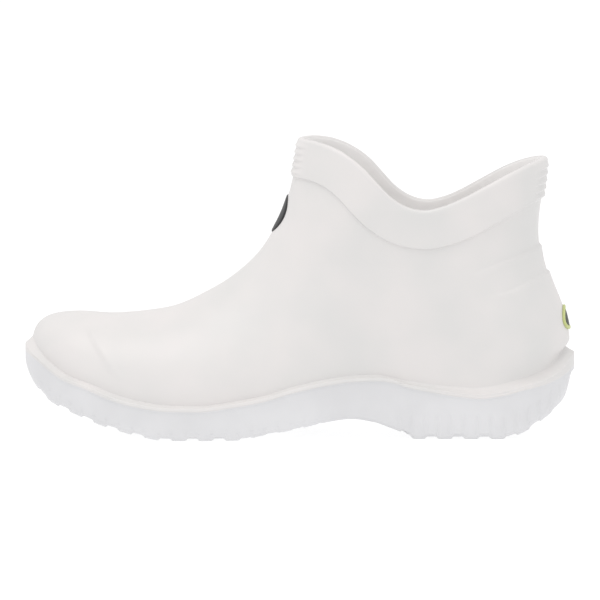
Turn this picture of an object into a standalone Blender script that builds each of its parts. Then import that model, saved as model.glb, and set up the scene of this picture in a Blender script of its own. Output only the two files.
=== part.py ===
"""A left rubber ankle boot: a cupsole, a moulded upper, a footbed and two small plain badges.

Sizes are in metres. The toe points towards -Y, the wearer's outer side is +X and +Z is up. The origin is
on the floor, under the middle of the outsole. In the tables and functions below, `back` is the distance
behind the tip of the outsole, `up` is the height over the floor, and `side` is +1 for the outer side and
-1 for the inner one.
"""

import math

import bmesh
import bpy
import numpy as np

# Overall sizes of the outsole.
SOLE_LENGTH = 0.300
BALL_WIDTH = 0.108
WAIST_WIDTH = 0.081
HEEL_WIDTH = 0.078
TOE_SPRING = 0.033
ARCH_HEIGHT = 0.011
HEEL_SPRING = 0.036
BAND_HEIGHT = 0.050
FOOTBED_HEIGHT = 0.0155

# Overall sizes of the upper, all over the floor but for its widths.
VAMP_HEIGHT = 0.0669
FRONT_HEIGHT = 0.162
BACK_HEIGHT = 0.151
DIP_HEIGHT = 0.1243
ANKLE_WIDTH = 0.078
COLLAR_WIDTH = 0.083

# The upper's wall and the steps moulded into it; the grip ribs end between these shares of their half width.
WALL = 0.0028
CUFF_HEIGHT = 0.0213
CUFF_STEP = 0.0011
RIB_COUNT = 5
RIB_DEPTH = 0.0012
RIB_HALF_WIDTH = 0.017
RIB_ENDS = (0.8, 1.1)
TOE_STEP = 0.0009
HEEL_STEP = 0.0010
FADE_DEPTH = 0.0003
FADE_START = 0.0015
FADE_RISE = 0.006

# The outsole's band, bead, ribs and lugs.
BAND_WALL = 0.0038
BEAD_HEIGHT = 0.0045
BAND_RECESS = 0.0007
RIB_PITCH = 0.0074
SIDE_RIB_DEPTH = 0.0010
LUG_PITCH = 0.0143
FIRST_LUG = 0.1235
WAIST_START = 0.53
WAIST_THINNING = (0.38, 0.44)
WAIST_GAP_SHARE = 0.5
WAIST_END = 0.68
LAST_LUG = 0.94
LUG_GAP = 0.0078
LUG_DEPTH = 0.0023

# The loose pieces.
INSOLE_THICKNESS = 0.0045
PATCH_THICKNESS = 0.0008
PATCH_WIDTH = 0.027
PATCH_LENGTH = 0.0225
PATCH_DROP = 0.0217
BADGE_THICKNESS = 0.0013
BADGE_WIDTH = 0.026
BADGE_LENGTH = 0.0135
BADGE_FRAME = 0.0019
BADGE_RISE = 0.0257
BADGE_TILT = math.radians(15)
CLEARANCE = 0.0003

# Shares that shape the last: from which share of DIP_HEIGHT the shaft widens to its collar; between which
# shares of VAMP_HEIGHT up, and of SOLE_LENGTH back, the foot's width turns into the shaft's; and between
# which shares of SOLE_LENGTH the section's rounding is first measured straight down and then square to
# the silhouette.
SHAFT_FLARE = 0.75
SHAFT_UP = (0.35, 1.35)
SHAFT_ALONG = (0.20, 0.45)
SQUARE_ALONG = (0.19, 0.32)

# The cuff: how far its edge is moved at the ends, over which share of the rim; how much of its height is
# plain before its first grip rib and how much the ribs take; and how far its edge lies under the rim at
# the back, as a share of CUFF_HEIGHT.
CUFF_END_SHARE = 0.25
CUFF_BACK_SHARE = 1.1
CUFF_PLAIN_SHARE = 0.03
CUFF_RIBBED_SHARE = 0.92
RIM_STEP = 0.004

# The heel stands out by this many times HEEL_STEP below its lower line.
LOWER_STEP_SHARE = 1.9

# How many band walls in the bead's top ends, which is inside the upper's form that is cut out of it.
BEAD_TOP_REACH = 1.5

# The rounding along the outsole's foot: how far in and how far up, as shares of its size.
FOOT_ROUND_COLUMNS = ("inset", "rise")
FOOT_ROUND_ROWS = ((1.0, 0.0), (0.3, 0.28), (0.0, 0.95))
FOOT_ROUND_ROOM = 0.2
RIB_OVER_ROUND = 1.2

# A lug gap's half width at its mouth and at its top, as shares of half LUG_GAP.
LUG_GAP_MOUTH = 1.15
LUG_GAP_TOP = 0.75

# How finely the forms are divided, and from which angle an edge is shaded sharp.
LOOP_HALF = 21
BODY_LEVELS = 19
LEVEL_CROWDING = 1.35
SILHOUETTE_SAMPLES = 500
OUTLINE_SAMPLES = 400
INSOLE_SAMPLES = 31
OVAL_SIDES = 32
RIB_RINGS = 2
MERGE_DISTANCE = 0.00002
SHARP_ANGLE = math.radians(35)

# Levels up the last: 0 is the upper's bottom edge, 1 the cuff's edge and 2 the rim.
CUP_TOP_LEVEL = 0.75
BED_TOP_LEVEL = 0.5
MID_CUFF_LEVEL = 1.5
RIM_LEVEL = 2.0

# The upper's silhouette over the toe, vamp and shaft: how far back, as a share of SOLE_LENGTH; how high,
# as shares of VAMP_HEIGHT and of the rise from there to FRONT_HEIGHT; and over which depth the section
# rounds from this line to its full width, as a share of VAMP_HEIGHT.
FRONT_COLUMNS = ("back", "vamp", "rise", "depth")
FRONT_ROWS = (
    (0.0140, 0.50, 0.000, 0.06),
    (0.0136, 0.68, 0.000, 0.06),
    (0.0143, 0.79, 0.000, 0.08),
    (0.0235, 0.880, 0.000, 0.17),
    (0.0420, 0.940, 0.000, 0.28),
    (0.0700, 0.969, 0.000, 0.37),
    (0.1080, 0.975, 0.000, 0.47),
    (0.1500, 0.966, 0.000, 0.54),
    (0.1900, 0.973, 0.000, 0.59),
    (0.2330, 0.993, 0.002, 0.64),
    (0.2750, 1.000, 0.023, 0.69),
    (0.3190, 1.000, 0.082, 0.74),
    (0.3650, 1.000, 0.165, 0.78),
    (0.3960, 1.000, 0.240, 0.80),
    (0.4260, 1.000, 0.335, 0.80),
    (0.4500, 1.000, 0.450, 0.78),
    (0.4690, 1.000, 0.570, 0.75),
    (0.4830, 1.000, 0.705, 0.72),
    (0.4930, 1.000, 0.850, 0.70),
    (0.5010, 1.000, 1.000, 0.70),
)

# The upper's silhouette up the heel: how far back, as a share of SOLE_LENGTH; how high, as a share of
# BACK_HEIGHT; and over which depth the plan rounds from this line to its full width, as a share of
# HEEL_WIDTH.
BACK_COLUMNS = ("back", "up", "depth")
BACK_ROWS = (
    (0.9765, 0.17, 0.50),
    (0.9812, 0.26, 0.50),
    (0.9825, 0.335, 0.51),
    (0.9775, 0.405, 0.53),
    (0.9665, 0.477, 0.56),
    (0.9545, 0.535, 0.58),
    (0.9435, 0.600, 0.60),
    (0.9365, 0.667, 0.61),
    (0.9340, 0.728, 0.61),
    (0.9352, 0.788, 0.61),
    (0.9390, 0.848, 0.61),
    (0.9437, 0.915, 0.61),
    (0.9475, 1.000, 0.61),
)

# The collar's rim from front to back: how far along it; and its height over the dip, as shares of the
# front's and of the back's.
RIM_COLUMNS = ("along", "front", "back")
RIM_ROWS = (
    (0.000, 1.000, 0.000),
    (0.040, 0.995, 0.000),
    (0.093, 0.965, 0.000),
    (0.165, 0.872, 0.000),
    (0.220, 0.750, 0.000),
    (0.273, 0.592, 0.000),
    (0.330, 0.372, 0.000),
    (0.380, 0.190, 0.000),
    (0.431, 0.070, 0.000),
    (0.476, 0.015, 0.000),
    (0.516, 0.000, 0.000),
    (0.571, 0.000, 0.055),
    (0.646, 0.000, 0.200),
    (0.729, 0.000, 0.405),
    (0.812, 0.000, 0.620),
    (0.872, 0.000, 0.765),
    (0.934, 0.000, 0.895),
    (1.000, 0.000, 1.000),
)

# The outsole's plan: half widths of the outer and inner side, as shares of the named widths, which the
# rounded toe and heel then close; and how far the last's ridge stands to the inner side, as a share of
# BALL_WIDTH.
PLAN_COLUMNS = ("back", "ball", "waist", "heel", "inner_ball", "inner_waist", "inner_heel", "ridge")
PLAN_ROWS = (
    (0.00, 0.515, 0.00, 0.00, 0.465, 0.00, 0.00, -0.035),
    (0.20, 0.518, 0.00, 0.00, 0.480, 0.00, 0.00, -0.045),
    (0.32, 0.514, 0.00, 0.00, 0.486, 0.00, 0.00, -0.042),
    (0.43, 0.465, 0.00, 0.00, 0.430, 0.00, 0.00, -0.024),
    (0.53, 0.200, 0.31, 0.00, 0.190, 0.28, 0.00, -0.008),
    (0.62, 0.000, 0.51, 0.00, 0.000, 0.49, 0.00, 0.000),
    (0.72, 0.000, 0.00, 0.51, 0.000, 0.00, 0.49, 0.000),
    (0.86, 0.000, 0.00, 0.50, 0.000, 0.00, 0.50, 0.000),
    (1.00, 0.000, 0.00, 0.49, 0.000, 0.00, 0.49, 0.000),
)
TOE_ROUND = {1: 0.80, -1: 0.66}
HEEL_ROUND = 0.54
PLAN_POWER = 2.2
SECTION_POWER = 2.1

# The outsole's lowest line: shares of TOE_SPRING, ARCH_HEIGHT and HEEL_SPRING.
BOTTOM_COLUMNS = ("back", "toe", "arch", "heel")
BOTTOM_ROWS = (
    (0.000, 1.000, 0.00, 0.00),
    (0.008, 0.900, 0.00, 0.00),
    (0.026, 0.730, 0.00, 0.00),
    (0.044, 0.600, 0.00, 0.00),
    (0.065, 0.500, 0.00, 0.00),
    (0.095, 0.400, 0.00, 0.00),
    (0.130, 0.285, 0.00, 0.00),
    (0.182, 0.145, 0.00, 0.00),
    (0.230, 0.045, 0.00, 0.00),
    (0.265, 0.000, 0.00, 0.00),
    (0.395, 0.000, 0.00, 0.00),
    (0.437, 0.000, 0.22, 0.00),
    (0.499, 0.000, 0.52, 0.00),
    (0.556, 0.000, 0.87, 0.00),
    (0.597, 0.000, 1.00, 0.00),
    (0.640, 0.000, 0.85, 0.00),
    (0.685, 0.000, 0.55, 0.00),
    (0.703, 0.000, 0.15, 0.00),
    (0.715, 0.000, 0.00, 0.00),
    (0.872, 0.000, 0.00, 0.00),
    (0.905, 0.000, 0.00, 0.05),
    (0.923, 0.000, 0.00, 0.11),
    (0.939, 0.000, 0.00, 0.20),
    (0.955, 0.000, 0.00, 0.30),
    (0.972, 0.000, 0.00, 0.43),
    (0.985, 0.000, 0.00, 0.59),
    (0.993, 0.000, 0.00, 0.82),
    (1.000, 0.000, 0.00, 1.00),
)

# The edge where the bead's face ends and its top begins, as a share of BAND_HEIGHT; how high that face is
# and how far the top rises over each band wall on its way in, as shares of BEAD_HEIGHT; how high the ribs
# stand on the band and how large its foot is rounded, as shares of BAND_HEIGHT; and the top of the plate
# that the upper and the footbed stand on, as a share of FOOTBED_HEIGHT.
LEVEL_COLUMNS = ("back", "ledge", "bead", "slope", "ribs", "round", "floor")
LEVEL_ROWS = (
    (0.000, 0.971, 0.90, 0.85, 0.16, 0.150, 2.60),
    (0.013, 0.930, 0.80, 0.70, 0.16, 0.150, 2.40),
    (0.036, 0.828, 0.55, 0.45, 0.14, 0.130, 1.95),
    (0.076, 0.666, 0.45, 0.30, 0.10, 0.110, 1.55),
    (0.119, 0.578, 0.42, 0.24, 0.09, 0.080, 1.28),
    (0.163, 0.472, 0.40, 0.22, 0.09, 0.060, 1.02),
    (0.210, 0.400, 0.40, 0.22, 0.09, 0.050, 0.80),
    (0.265, 0.356, 0.40, 0.22, 0.09, 0.045, 0.64),
    (0.322, 0.350, 0.40, 0.22, 0.09, 0.040, 0.60),
    (0.382, 0.390, 0.40, 0.22, 0.09, 0.040, 0.62),
    (0.440, 0.450, 0.40, 0.22, 0.09, 0.040, 0.74),
    (0.498, 0.550, 0.40, 0.22, 0.08, 0.040, 0.88),
    (0.561, 0.629, 0.41, 0.22, 0.06, 0.040, 0.98),
    (0.602, 0.660, 0.42, 0.22, 0.05, 0.040, 1.02),
    (0.621, 0.664, 0.42, 0.22, 0.05, 0.040, 1.03),
    (0.635, 0.668, 0.42, 0.22, 0.05, 0.040, 1.03),
    (0.649, 0.668, 0.42, 0.22, 0.06, 0.040, 1.03),
    (0.673, 0.648, 0.44, 0.24, 0.13, 0.040, 1.03),
    (0.700, 0.601, 0.48, 0.26, 0.26, 0.042, 1.02),
    (0.735, 0.568, 0.58, 0.32, 0.29, 0.045, 1.02),
    (0.790, 0.527, 0.72, 0.40, 0.29, 0.045, 1.01),
    (0.831, 0.512, 0.80, 0.42, 0.29, 0.045, 1.00),
    (0.871, 0.535, 0.72, 0.42, 0.29, 0.050, 1.00),
    (0.903, 0.581, 0.68, 0.42, 0.29, 0.070, 1.03),
    (0.949, 0.652, 0.75, 0.45, 0.29, 0.110, 1.22),
    (0.967, 0.702, 0.96, 0.50, 0.29, 0.130, 1.48),
    (0.985, 0.790, 1.45, 0.56, 0.27, 0.140, 1.85),
    (1.000, 0.894, 1.93, 0.60, 0.25, 0.140, 2.10),
)

# Where the toe step's line and the two heel steps' lines run: shares of SOLE_LENGTH back and VAMP_HEIGHT
# up.
TOE_LINE = (
    (0.100, 1.200),
    (0.112, 1.000),
    (0.1235, 0.840),
    (0.149, 0.660),
    (0.178, 0.495),
    (0.213, 0.420),
    (0.250, 0.360),
)
HEEL_LINE_HIGH = ((0.80, 1.310), (0.834, 1.362), (0.860, 1.415), (0.881, 1.444), (0.918, 1.508), (0.96, 1.59))
HEEL_LINE_LOW = ((0.82, 1.120), (0.857, 1.166), (0.881, 1.190), (0.904, 1.236), (0.927, 1.281), (0.97, 1.37))
TOE_FADE = (0.34, 0.13)
TOE_FADE_UP = (0.94, 0.86)
HEEL_FADE_HIGH = (0.82, 0.90)
HEEL_FADE_LOW = (0.845, 0.92)


def column(columns, rows, name):
    """One named column of a table."""
    return np.array([row[columns.index(name)] for row in rows])


def eased(knots, values, at):
    """Reads a table as a smooth line that stays level between level rows and never swings past a row."""
    knots = np.asarray(knots, float)
    values = np.asarray(values, float)
    step = np.diff(knots)
    slope = np.diff(values) / step
    lean = np.zeros(len(knots))
    inner = slope[:-1] * slope[1:] > 0
    weight_a = 2 * step[1:] + step[:-1]
    weight_b = step[1:] + 2 * step[:-1]
    safe_a = np.where(inner, slope[:-1], 1.0)
    safe_b = np.where(inner, slope[1:], 1.0)
    lean[1:-1] = np.where(inner, (weight_a + weight_b) / (weight_a / safe_a + weight_b / safe_b), 0.0)
    lean[0] = slope[0]
    lean[-1] = slope[-1]
    at = np.clip(np.asarray(at, float), knots[0], knots[-1])
    row = np.clip(np.searchsorted(knots, at, side="right") - 1, 0, len(step) - 1)
    t = (at - knots[row]) / step[row]
    h00 = 2 * t**3 - 3 * t**2 + 1
    h10 = t**3 - 2 * t**2 + t
    h01 = 3 * t**2 - 2 * t**3
    h11 = t**3 - t**2
    start = h00 * values[row] + h10 * step[row] * lean[row]
    return start + h01 * values[row + 1] + h11 * step[row] * lean[row + 1]


def spline(points, at):
    """A natural cubic curve through points of any number of columns, read at shares of its length."""
    points = np.asarray(points, float)
    chord = np.linalg.norm(np.diff(points[:, :2], axis=0), axis=1)
    knots = np.concatenate(([0.0], np.cumsum(chord))) / chord.sum()
    step = np.diff(knots)[:, None]
    slope = np.diff(points, axis=0) / step
    count = len(points)
    matrix = np.eye(count)
    wanted = np.zeros_like(points)
    for i in range(1, count - 1):
        matrix[i, i - 1 : i + 2] = (step[i - 1, 0], 2 * (step[i - 1, 0] + step[i, 0]), step[i, 0])
        wanted[i] = 6 * (slope[i] - slope[i - 1])
    bend = np.linalg.solve(matrix, wanted)
    at = np.asarray(at, float)
    row = np.clip(np.searchsorted(knots, at, side="right") - 1, 0, count - 2)
    width = step[row]
    u = (at[:, None] - knots[row][:, None]) / width
    v = 1 - u
    return (
        v * points[row]
        + u * points[row + 1]
        + ((v**3 - v) * bend[row] + (u**3 - u) * bend[row + 1]) * width**2 / 6
    )


def soft(value, low, high):
    """Rises smoothly from 0 at low to 1 at high, or falls if low is above high."""
    t = np.clip((value - low) / (high - low), 0.0, 1.0)
    return t * t * (3 - 2 * t)


def dome(share, power):
    """A rounded shoulder: 0 at the edge, 1 from share 1 on, like the quarter of an ellipse."""
    return (1 - (1 - np.clip(share, 0.0, 1.0)) ** power) ** (1 / power)


def front_silhouette():
    """The upper's line over the toe and up the shaft: back, up and the depth of the section's rounding."""
    back = column(FRONT_COLUMNS, FRONT_ROWS, "back") * SOLE_LENGTH
    up = column(FRONT_COLUMNS, FRONT_ROWS, "vamp") * VAMP_HEIGHT
    up = up + column(FRONT_COLUMNS, FRONT_ROWS, "rise") * (FRONT_HEIGHT - VAMP_HEIGHT)
    depth = column(FRONT_COLUMNS, FRONT_ROWS, "depth") * VAMP_HEIGHT
    return spline(np.column_stack((back, up, depth)), np.linspace(0, 1, SILHOUETTE_SAMPLES))


def back_silhouette():
    """The upper's line up the heel: columns back, up and the depth of the plan's rounding."""
    back = column(BACK_COLUMNS, BACK_ROWS, "back") * SOLE_LENGTH
    up = column(BACK_COLUMNS, BACK_ROWS, "up") * BACK_HEIGHT
    depth = column(BACK_COLUMNS, BACK_ROWS, "depth") * HEEL_WIDTH
    return spline(np.column_stack((back, up, depth)), np.linspace(0, 1, SILHOUETTE_SAMPLES))


FRONT = front_silhouette()
BACK = back_silhouette()
NOSE_BACK = FRONT[:, 0].min()


def sole_level(name, back):
    """One of the outsole's side-view lines or sizes: ledge, bead, slope, ribs, round or floor."""
    size = {"floor": FOOTBED_HEIGHT, "bead": BEAD_HEIGHT, "slope": BEAD_HEIGHT}.get(name, BAND_HEIGHT)
    values = column(LEVEL_COLUMNS, LEVEL_ROWS, name) * size
    return eased(column(LEVEL_COLUMNS, LEVEL_ROWS, "back"), values, np.asarray(back) / SOLE_LENGTH)


def bead_top(back):
    """The height of the bead's sloping top at its inner end."""
    return sole_level("ledge", back) + sole_level("slope", back) * BEAD_TOP_REACH


def sole_bottom(back):
    """The height of the outsole's underside over the floor."""
    rows = column(BOTTOM_COLUMNS, BOTTOM_ROWS, "toe") * TOE_SPRING
    rows = rows + column(BOTTOM_COLUMNS, BOTTOM_ROWS, "arch") * ARCH_HEIGHT
    rows = rows + column(BOTTOM_COLUMNS, BOTTOM_ROWS, "heel") * HEEL_SPRING
    return eased(column(BOTTOM_COLUMNS, BOTTOM_ROWS, "back"), rows, np.asarray(back) / SOLE_LENGTH)


def ridge(back):
    """Where the last's ridge and tip stand across the boot."""
    values = column(PLAN_COLUMNS, PLAN_ROWS, "ridge") * BALL_WIDTH
    return eased(column(PLAN_COLUMNS, PLAN_ROWS, "back"), values, np.asarray(back) / SOLE_LENGTH)


def plan_full(back, side):
    """The outsole's half width from the boot's axis before its toe and heel are rounded."""
    prefix = "" if side > 0 else "inner_"
    rows = column(PLAN_COLUMNS, PLAN_ROWS, prefix + "ball") * BALL_WIDTH
    rows = rows + column(PLAN_COLUMNS, PLAN_ROWS, prefix + "waist") * WAIST_WIDTH
    rows = rows + column(PLAN_COLUMNS, PLAN_ROWS, prefix + "heel") * HEEL_WIDTH
    return eased(column(PLAN_COLUMNS, PLAN_ROWS, "back"), rows, np.asarray(back) / SOLE_LENGTH)


def plan_half(back, side, inset):
    """The half width of the outsole's outline, moved inwards by inset, measured from the ridge."""
    full = plan_full(back, side) - inset - side * ridge(back)
    toe = dome((back - inset) / (TOE_ROUND[side] * BALL_WIDTH - inset), PLAN_POWER)
    heel = dome((SOLE_LENGTH - inset - back) / (HEEL_ROUND * HEEL_WIDTH - inset), PLAN_POWER)
    return full * toe * heel


def plan_outline():
    """The outer and the inner half of the outsole's outline, from toe to heel: columns across and back."""
    back = (1 - np.cos(np.linspace(0, math.pi, OUTLINE_SAMPLES))) / 2 * SOLE_LENGTH
    outer = np.column_stack((ridge(back) + plan_half(back, 1, 0.0), back))
    inner = np.column_stack((ridge(back) - plan_half(back, -1, 0.0), back))
    return outer, inner


def last_half(back, up, side):
    """The upper's half width from the ridge at a place in the side view; 0 on both silhouettes."""
    inset = BAND_WALL + CLEARANCE
    full = plan_full(back, side) - inset - side * ridge(back)
    toe = dome((back - NOSE_BACK) / (TOE_ROUND[side] * BALL_WIDTH - inset), PLAN_POWER)
    shaft = np.interp(up, (DIP_HEIGHT * SHAFT_FLARE, DIP_HEIGHT), (ANKLE_WIDTH / 2, COLLAR_WIDTH / 2))
    rise = soft(up / VAMP_HEIGHT, *SHAFT_UP) * soft(back / SOLE_LENGTH, *SHAFT_ALONG)
    width = full * toe
    width = width + (shaft - width) * rise
    above = np.interp(back, FRONT[:, 0], FRONT[:, 1]) - up
    drop = above / np.interp(back, FRONT[:, 0], FRONT[:, 2])
    gaps = np.hypot(back[..., None] - FRONT[:, 0], up[..., None] - FRONT[:, 1])
    nearest = gaps.argmin(axis=-1)
    square = gaps.min(axis=-1) / FRONT[nearest, 2]
    front = drop + (square - drop) * soft(back / SOLE_LENGTH, *SQUARE_ALONG)
    heel_line = np.interp(up, BACK[:, 1], BACK[:, 0])
    heel_depth = np.interp(up, BACK[:, 1], BACK[:, 2])
    return width * dome(front, SECTION_POWER) * dome((heel_line - back) / heel_depth, SECTION_POWER)


def on_silhouette(line, share, start, end):
    """Points of a silhouette between two heights' samples, evenly spaced along it."""
    part = line[start : end + 1, :2]
    run = np.concatenate(([0.0], np.cumsum(np.linalg.norm(np.diff(part, axis=0), axis=1))))
    at = np.asarray(share) * run[-1]
    return np.column_stack((np.interp(at, run, part[:, 0]), np.interp(at, run, part[:, 1])))


def sample_at(line, up):
    """The silhouette's first sample at or over a height."""
    return int(np.argmax(line[:, 1] >= up))


def rim_line(share):
    """The collar's rim in the side view, from front to back."""
    along = column(RIM_COLUMNS, RIM_ROWS, "along")
    rise = column(RIM_COLUMNS, RIM_ROWS, "front") * (FRONT_HEIGHT - DIP_HEIGHT)
    rise = rise + column(RIM_COLUMNS, RIM_ROWS, "back") * (BACK_HEIGHT - DIP_HEIGHT)
    back = FRONT[-1, 0] + share * (BACK[-1, 0] - FRONT[-1, 0])
    return np.column_stack((back, DIP_HEIGHT + eased(along, rise, share)))


def cuff_line(share):
    """The cuff's lower edge: the rim moved square to itself by CUFF_HEIGHT, its ends on the silhouettes."""
    ahead = rim_line(np.clip(share + RIM_STEP, 0, 1))
    behind = rim_line(np.clip(share - RIM_STEP, 0, 1))
    run = ahead - behind
    run = run / np.linalg.norm(run, axis=1, keepdims=True)
    down = np.column_stack((run[:, 1], -run[:, 0]))
    line = rim_line(share) + down * CUFF_HEIGHT
    ends = rim_line(np.array([0.0, 1.0]))
    front = FRONT[sample_at(FRONT, ends[0, 1] - CUFF_HEIGHT), :2]
    back = BACK[sample_at(BACK, ends[1, 1] - CUFF_HEIGHT * CUFF_BACK_SHARE), :2]
    first = line[0] - front
    last = line[-1] - back
    fade_first = np.clip(1 - share / CUFF_END_SHARE, 0, 1)[:, None] ** 2
    fade_last = np.clip(1 - (1 - share) / CUFF_END_SHARE, 0, 1)[:, None] ** 2
    return line - fade_first * first - fade_last * last


def foot_line(share, lift):
    """The upper's bottom edge in the side view, lifted over the outsole's plate."""
    back = NOSE_BACK + share * (BACK[0, 0] - NOSE_BACK)
    return np.column_stack((back, sole_level("floor", back) + lift))


def side_line(level, share, lift):
    """The side view of one ring of the upper: level 0 is its bottom edge, 1 the cuff's edge and 2 the rim."""
    lower = foot_line(share, lift) if level < 1 else cuff_line(share)
    upper = cuff_line(share) if level < 1 else rim_line(share)
    part = level if level < 1 else level - 1
    starts = []
    for line, pick in ((FRONT, 0), (BACK, -1)):
        start = sample_at(line, lower[pick, 1])
        end = sample_at(line, upper[pick, 1]) if level < 1 else len(line) - 1
        starts.append(on_silhouette(line, [part], start, end)[0])
    front, back = starts
    chord = front + share[:, None] * (back - front)
    sag_lower = lower - (lower[0] + share[:, None] * (lower[-1] - lower[0]))
    sag_upper = upper - (upper[0] + share[:, None] * (upper[-1] - upper[0]))
    return chord + (1 - part) * sag_lower + part * sag_upper


def loop_shares():
    """Places along a ring from front to back, closer together at both ends."""
    return (1 - np.cos(np.linspace(0, math.pi, LOOP_HALF + 1))) / 2


def ring(level, lift=0.0):
    """One closed ring of points round the last: down the outer side and back along the inner one."""
    share = loop_shares()
    line = side_line(level, share, lift)
    back, up = line[:, 0], line[:, 1]
    sides = {}
    for side in (1, -1):
        across = ridge(back) + side * last_half(back, up, side)
        across[[0, -1]] = ridge(back)[[0, -1]]
        sides[side] = np.column_stack((across, back, up))
    return np.vstack((sides[1], sides[-1][-2:0:-1]))


def pushed(rings, amount):
    """The rings moved along the surface's own outward normal by amount, one value or one for each point."""
    around = np.roll(rings, -1, axis=1) - np.roll(rings, 1, axis=1)
    along = np.gradient(rings, axis=0)
    normal = np.cross(around, along)
    normal = normal / np.maximum(np.linalg.norm(normal, axis=2, keepdims=True), 1e-12)
    amount = np.broadcast_to(amount, rings.shape[:2])[..., None]
    return rings + normal * amount


def world(points):
    """From the boot's own across, back and up to the scene's X, Y and Z."""
    points = np.asarray(points, float)
    return np.stack((points[..., 0], points[..., 1] - SOLE_LENGTH / 2, points[..., 2]), axis=-1)


def make_object(name, verts, faces):
    """A mesh object in the scene with its faces turned outwards."""
    mesh = bpy.data.meshes.new(name)
    mesh.from_pydata([tuple(v) for v in verts], [], faces)
    obj = bpy.data.objects.new(name, mesh)
    bpy.context.scene.collection.objects.link(obj)
    shape = bmesh.new()
    shape.from_mesh(mesh)
    bmesh.ops.recalc_face_normals(shape, faces=shape.faces)
    bmesh.ops.triangulate(shape, faces=shape.faces)
    shape.to_mesh(mesh)
    shape.free()
    return obj


def solid_from_rings(name, rings):
    """A closed solid: rings joined by strips, its first and last ring closed by strips from side to side."""
    count, size = rings.shape[:2]
    half = size // 2
    faces = []
    for r in range(count - 1):
        for i in range(size):
            j = (i + 1) % size
            faces.append((r * size + i, r * size + j, (r + 1) * size + j, (r + 1) * size + i))
    for base in (0, (count - 1) * size):
        faces.append((base, base + 1, base + size - 1))
        for i in range(1, half - 1):
            faces.append((base + i, base + i + 1, base + size - i - 1, base + size - i))
        faces.append((base + half - 1, base + half, base + half + 1))
    return make_object(name, world(rings).reshape(-1, 3), faces)


def side_prism(name, outline, half_width):
    """A closed solid with an outline in the side view, given as back and up, wider than the boot."""
    count = len(outline)
    verts = [(x, b - SOLE_LENGTH / 2, u) for x in (-half_width, half_width) for b, u in outline]
    faces = [tuple(range(count)), tuple(range(count, 2 * count))]
    faces += [(i, (i + 1) % count, count + (i + 1) % count, count + i) for i in range(count)]
    return make_object(name, verts, faces)


def combine(target, tool, operation):
    """Joins, cuts or intersects target with tool and removes the tool."""
    modifier = target.modifiers.new(operation, "BOOLEAN")
    modifier.operation = operation
    modifier.object = tool
    bpy.context.view_layer.update()
    result = bpy.data.meshes.new_from_object(target.evaluated_get(bpy.context.evaluated_depsgraph_get()))
    target.modifiers.clear()
    target.data = result
    bpy.data.objects.remove(tool)
    return target


def finish(obj, colour, roughness):
    """Cleans the mesh, shades it and gives the object its own material."""
    shape = bmesh.new()
    shape.from_mesh(obj.data)
    bmesh.ops.remove_doubles(shape, verts=shape.verts, dist=MERGE_DISTANCE)
    bmesh.ops.dissolve_degenerate(shape, edges=shape.edges, dist=MERGE_DISTANCE)
    bmesh.ops.triangulate(shape, faces=shape.faces)
    shape.to_mesh(obj.data)
    shape.free()
    material = bpy.data.materials.new(obj.name)
    material.use_nodes = True
    surface = material.node_tree.nodes["Principled BSDF"]
    surface.inputs["Base Color"].default_value = (*colour, 1.0)
    surface.inputs["Roughness"].default_value = roughness
    surface.inputs["Metallic"].default_value = 0.0
    obj.data.materials.clear()
    obj.data.materials.append(material)
    obj.data.shade_smooth()
    obj.data.set_sharp_from_angle(angle=SHARP_ANGLE)
    return obj


def body_levels(top=1.0):
    """Levels from the bottom edge to the cuff's edge or a level in the cuff, closer together at the toe."""
    levels = np.linspace(0, 1, BODY_LEVELS + 1) ** LEVEL_CROWDING
    return list(levels[:-1]) + ([1.0] if top == 1.0 else list(np.linspace(1.0, top, 3)))


def body_rings(levels, lift=0.0):
    """The rings of the upper's outer surface at some levels."""
    return np.stack([ring(level, lift) for level in levels])


def cuff_rings():
    """The cuff's rings: proud of the shaft, with its grip ribs across the front and the back."""
    count = RIB_COUNT * RIB_RINGS
    first = 1.0 + CUFF_PLAIN_SHARE
    ribbed = first + CUFF_RIBBED_SHARE * np.linspace(0, 1, count + 1)[1:]
    levels = np.concatenate(([1.0, first], ribbed, [RIM_LEVEL]))
    rings = body_rings(levels)
    tooth = np.zeros(len(levels))
    tooth[2 : 2 + count : RIB_RINGS] = 1.0
    across = np.abs(rings[..., 0] - ridge(rings[..., 1]))
    near_ends = 1 - soft(across / RIB_HALF_WIDTH, *RIB_ENDS)
    return pushed(rings, CUFF_STEP + RIB_DEPTH * tooth[:, None] * near_ends)


def stepped_piece(name, levels, lift_field, outline):
    """A raised area of the upper: its surface pushed outwards by a field that fades, cut along a line."""
    rings = body_rings(levels, 3 * CLEARANCE)
    piece = solid_from_rings(name, pushed(rings, lift_field(rings)))
    prism = side_prism(name + "_cutter", outline, BALL_WIDTH)
    return combine(piece, prism, "INTERSECT")


def line_points(line):
    """A step's line in metres."""
    return [(b * SOLE_LENGTH, u * VAMP_HEIGHT) for b, u in line]


def over_bead(rings):
    """How far points lie over the bead beside them: 0 up to FADE_START above its top, 1 from FADE_RISE on."""
    outline = np.vstack(plan_outline())
    gaps = np.hypot(rings[..., 0, None] - outline[:, 0], rings[..., 1, None] - outline[:, 1])
    return soft(rings[..., 2] - bead_top(outline[gaps.argmin(axis=-1), 1]), FADE_START, FADE_RISE)


def toe_field(rings):
    """How far the vamp stands over the toe: full by the step's line, gone further back, on top and below."""
    along = soft(rings[..., 1] / SOLE_LENGTH, *TOE_FADE) * soft(rings[..., 2] / VAMP_HEIGHT, *TOE_FADE_UP)
    return (TOE_STEP + FADE_DEPTH) * along * over_bead(rings) - FADE_DEPTH


def heel_field(step, fade):
    """How far the heel stands out below a step's line: gone towards the toe and by the sole."""

    def field(rings):
        along = soft(rings[..., 1] / SOLE_LENGTH, *fade)
        return (step + FADE_DEPTH) * along * over_bead(rings) - FADE_DEPTH

    return field


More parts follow.
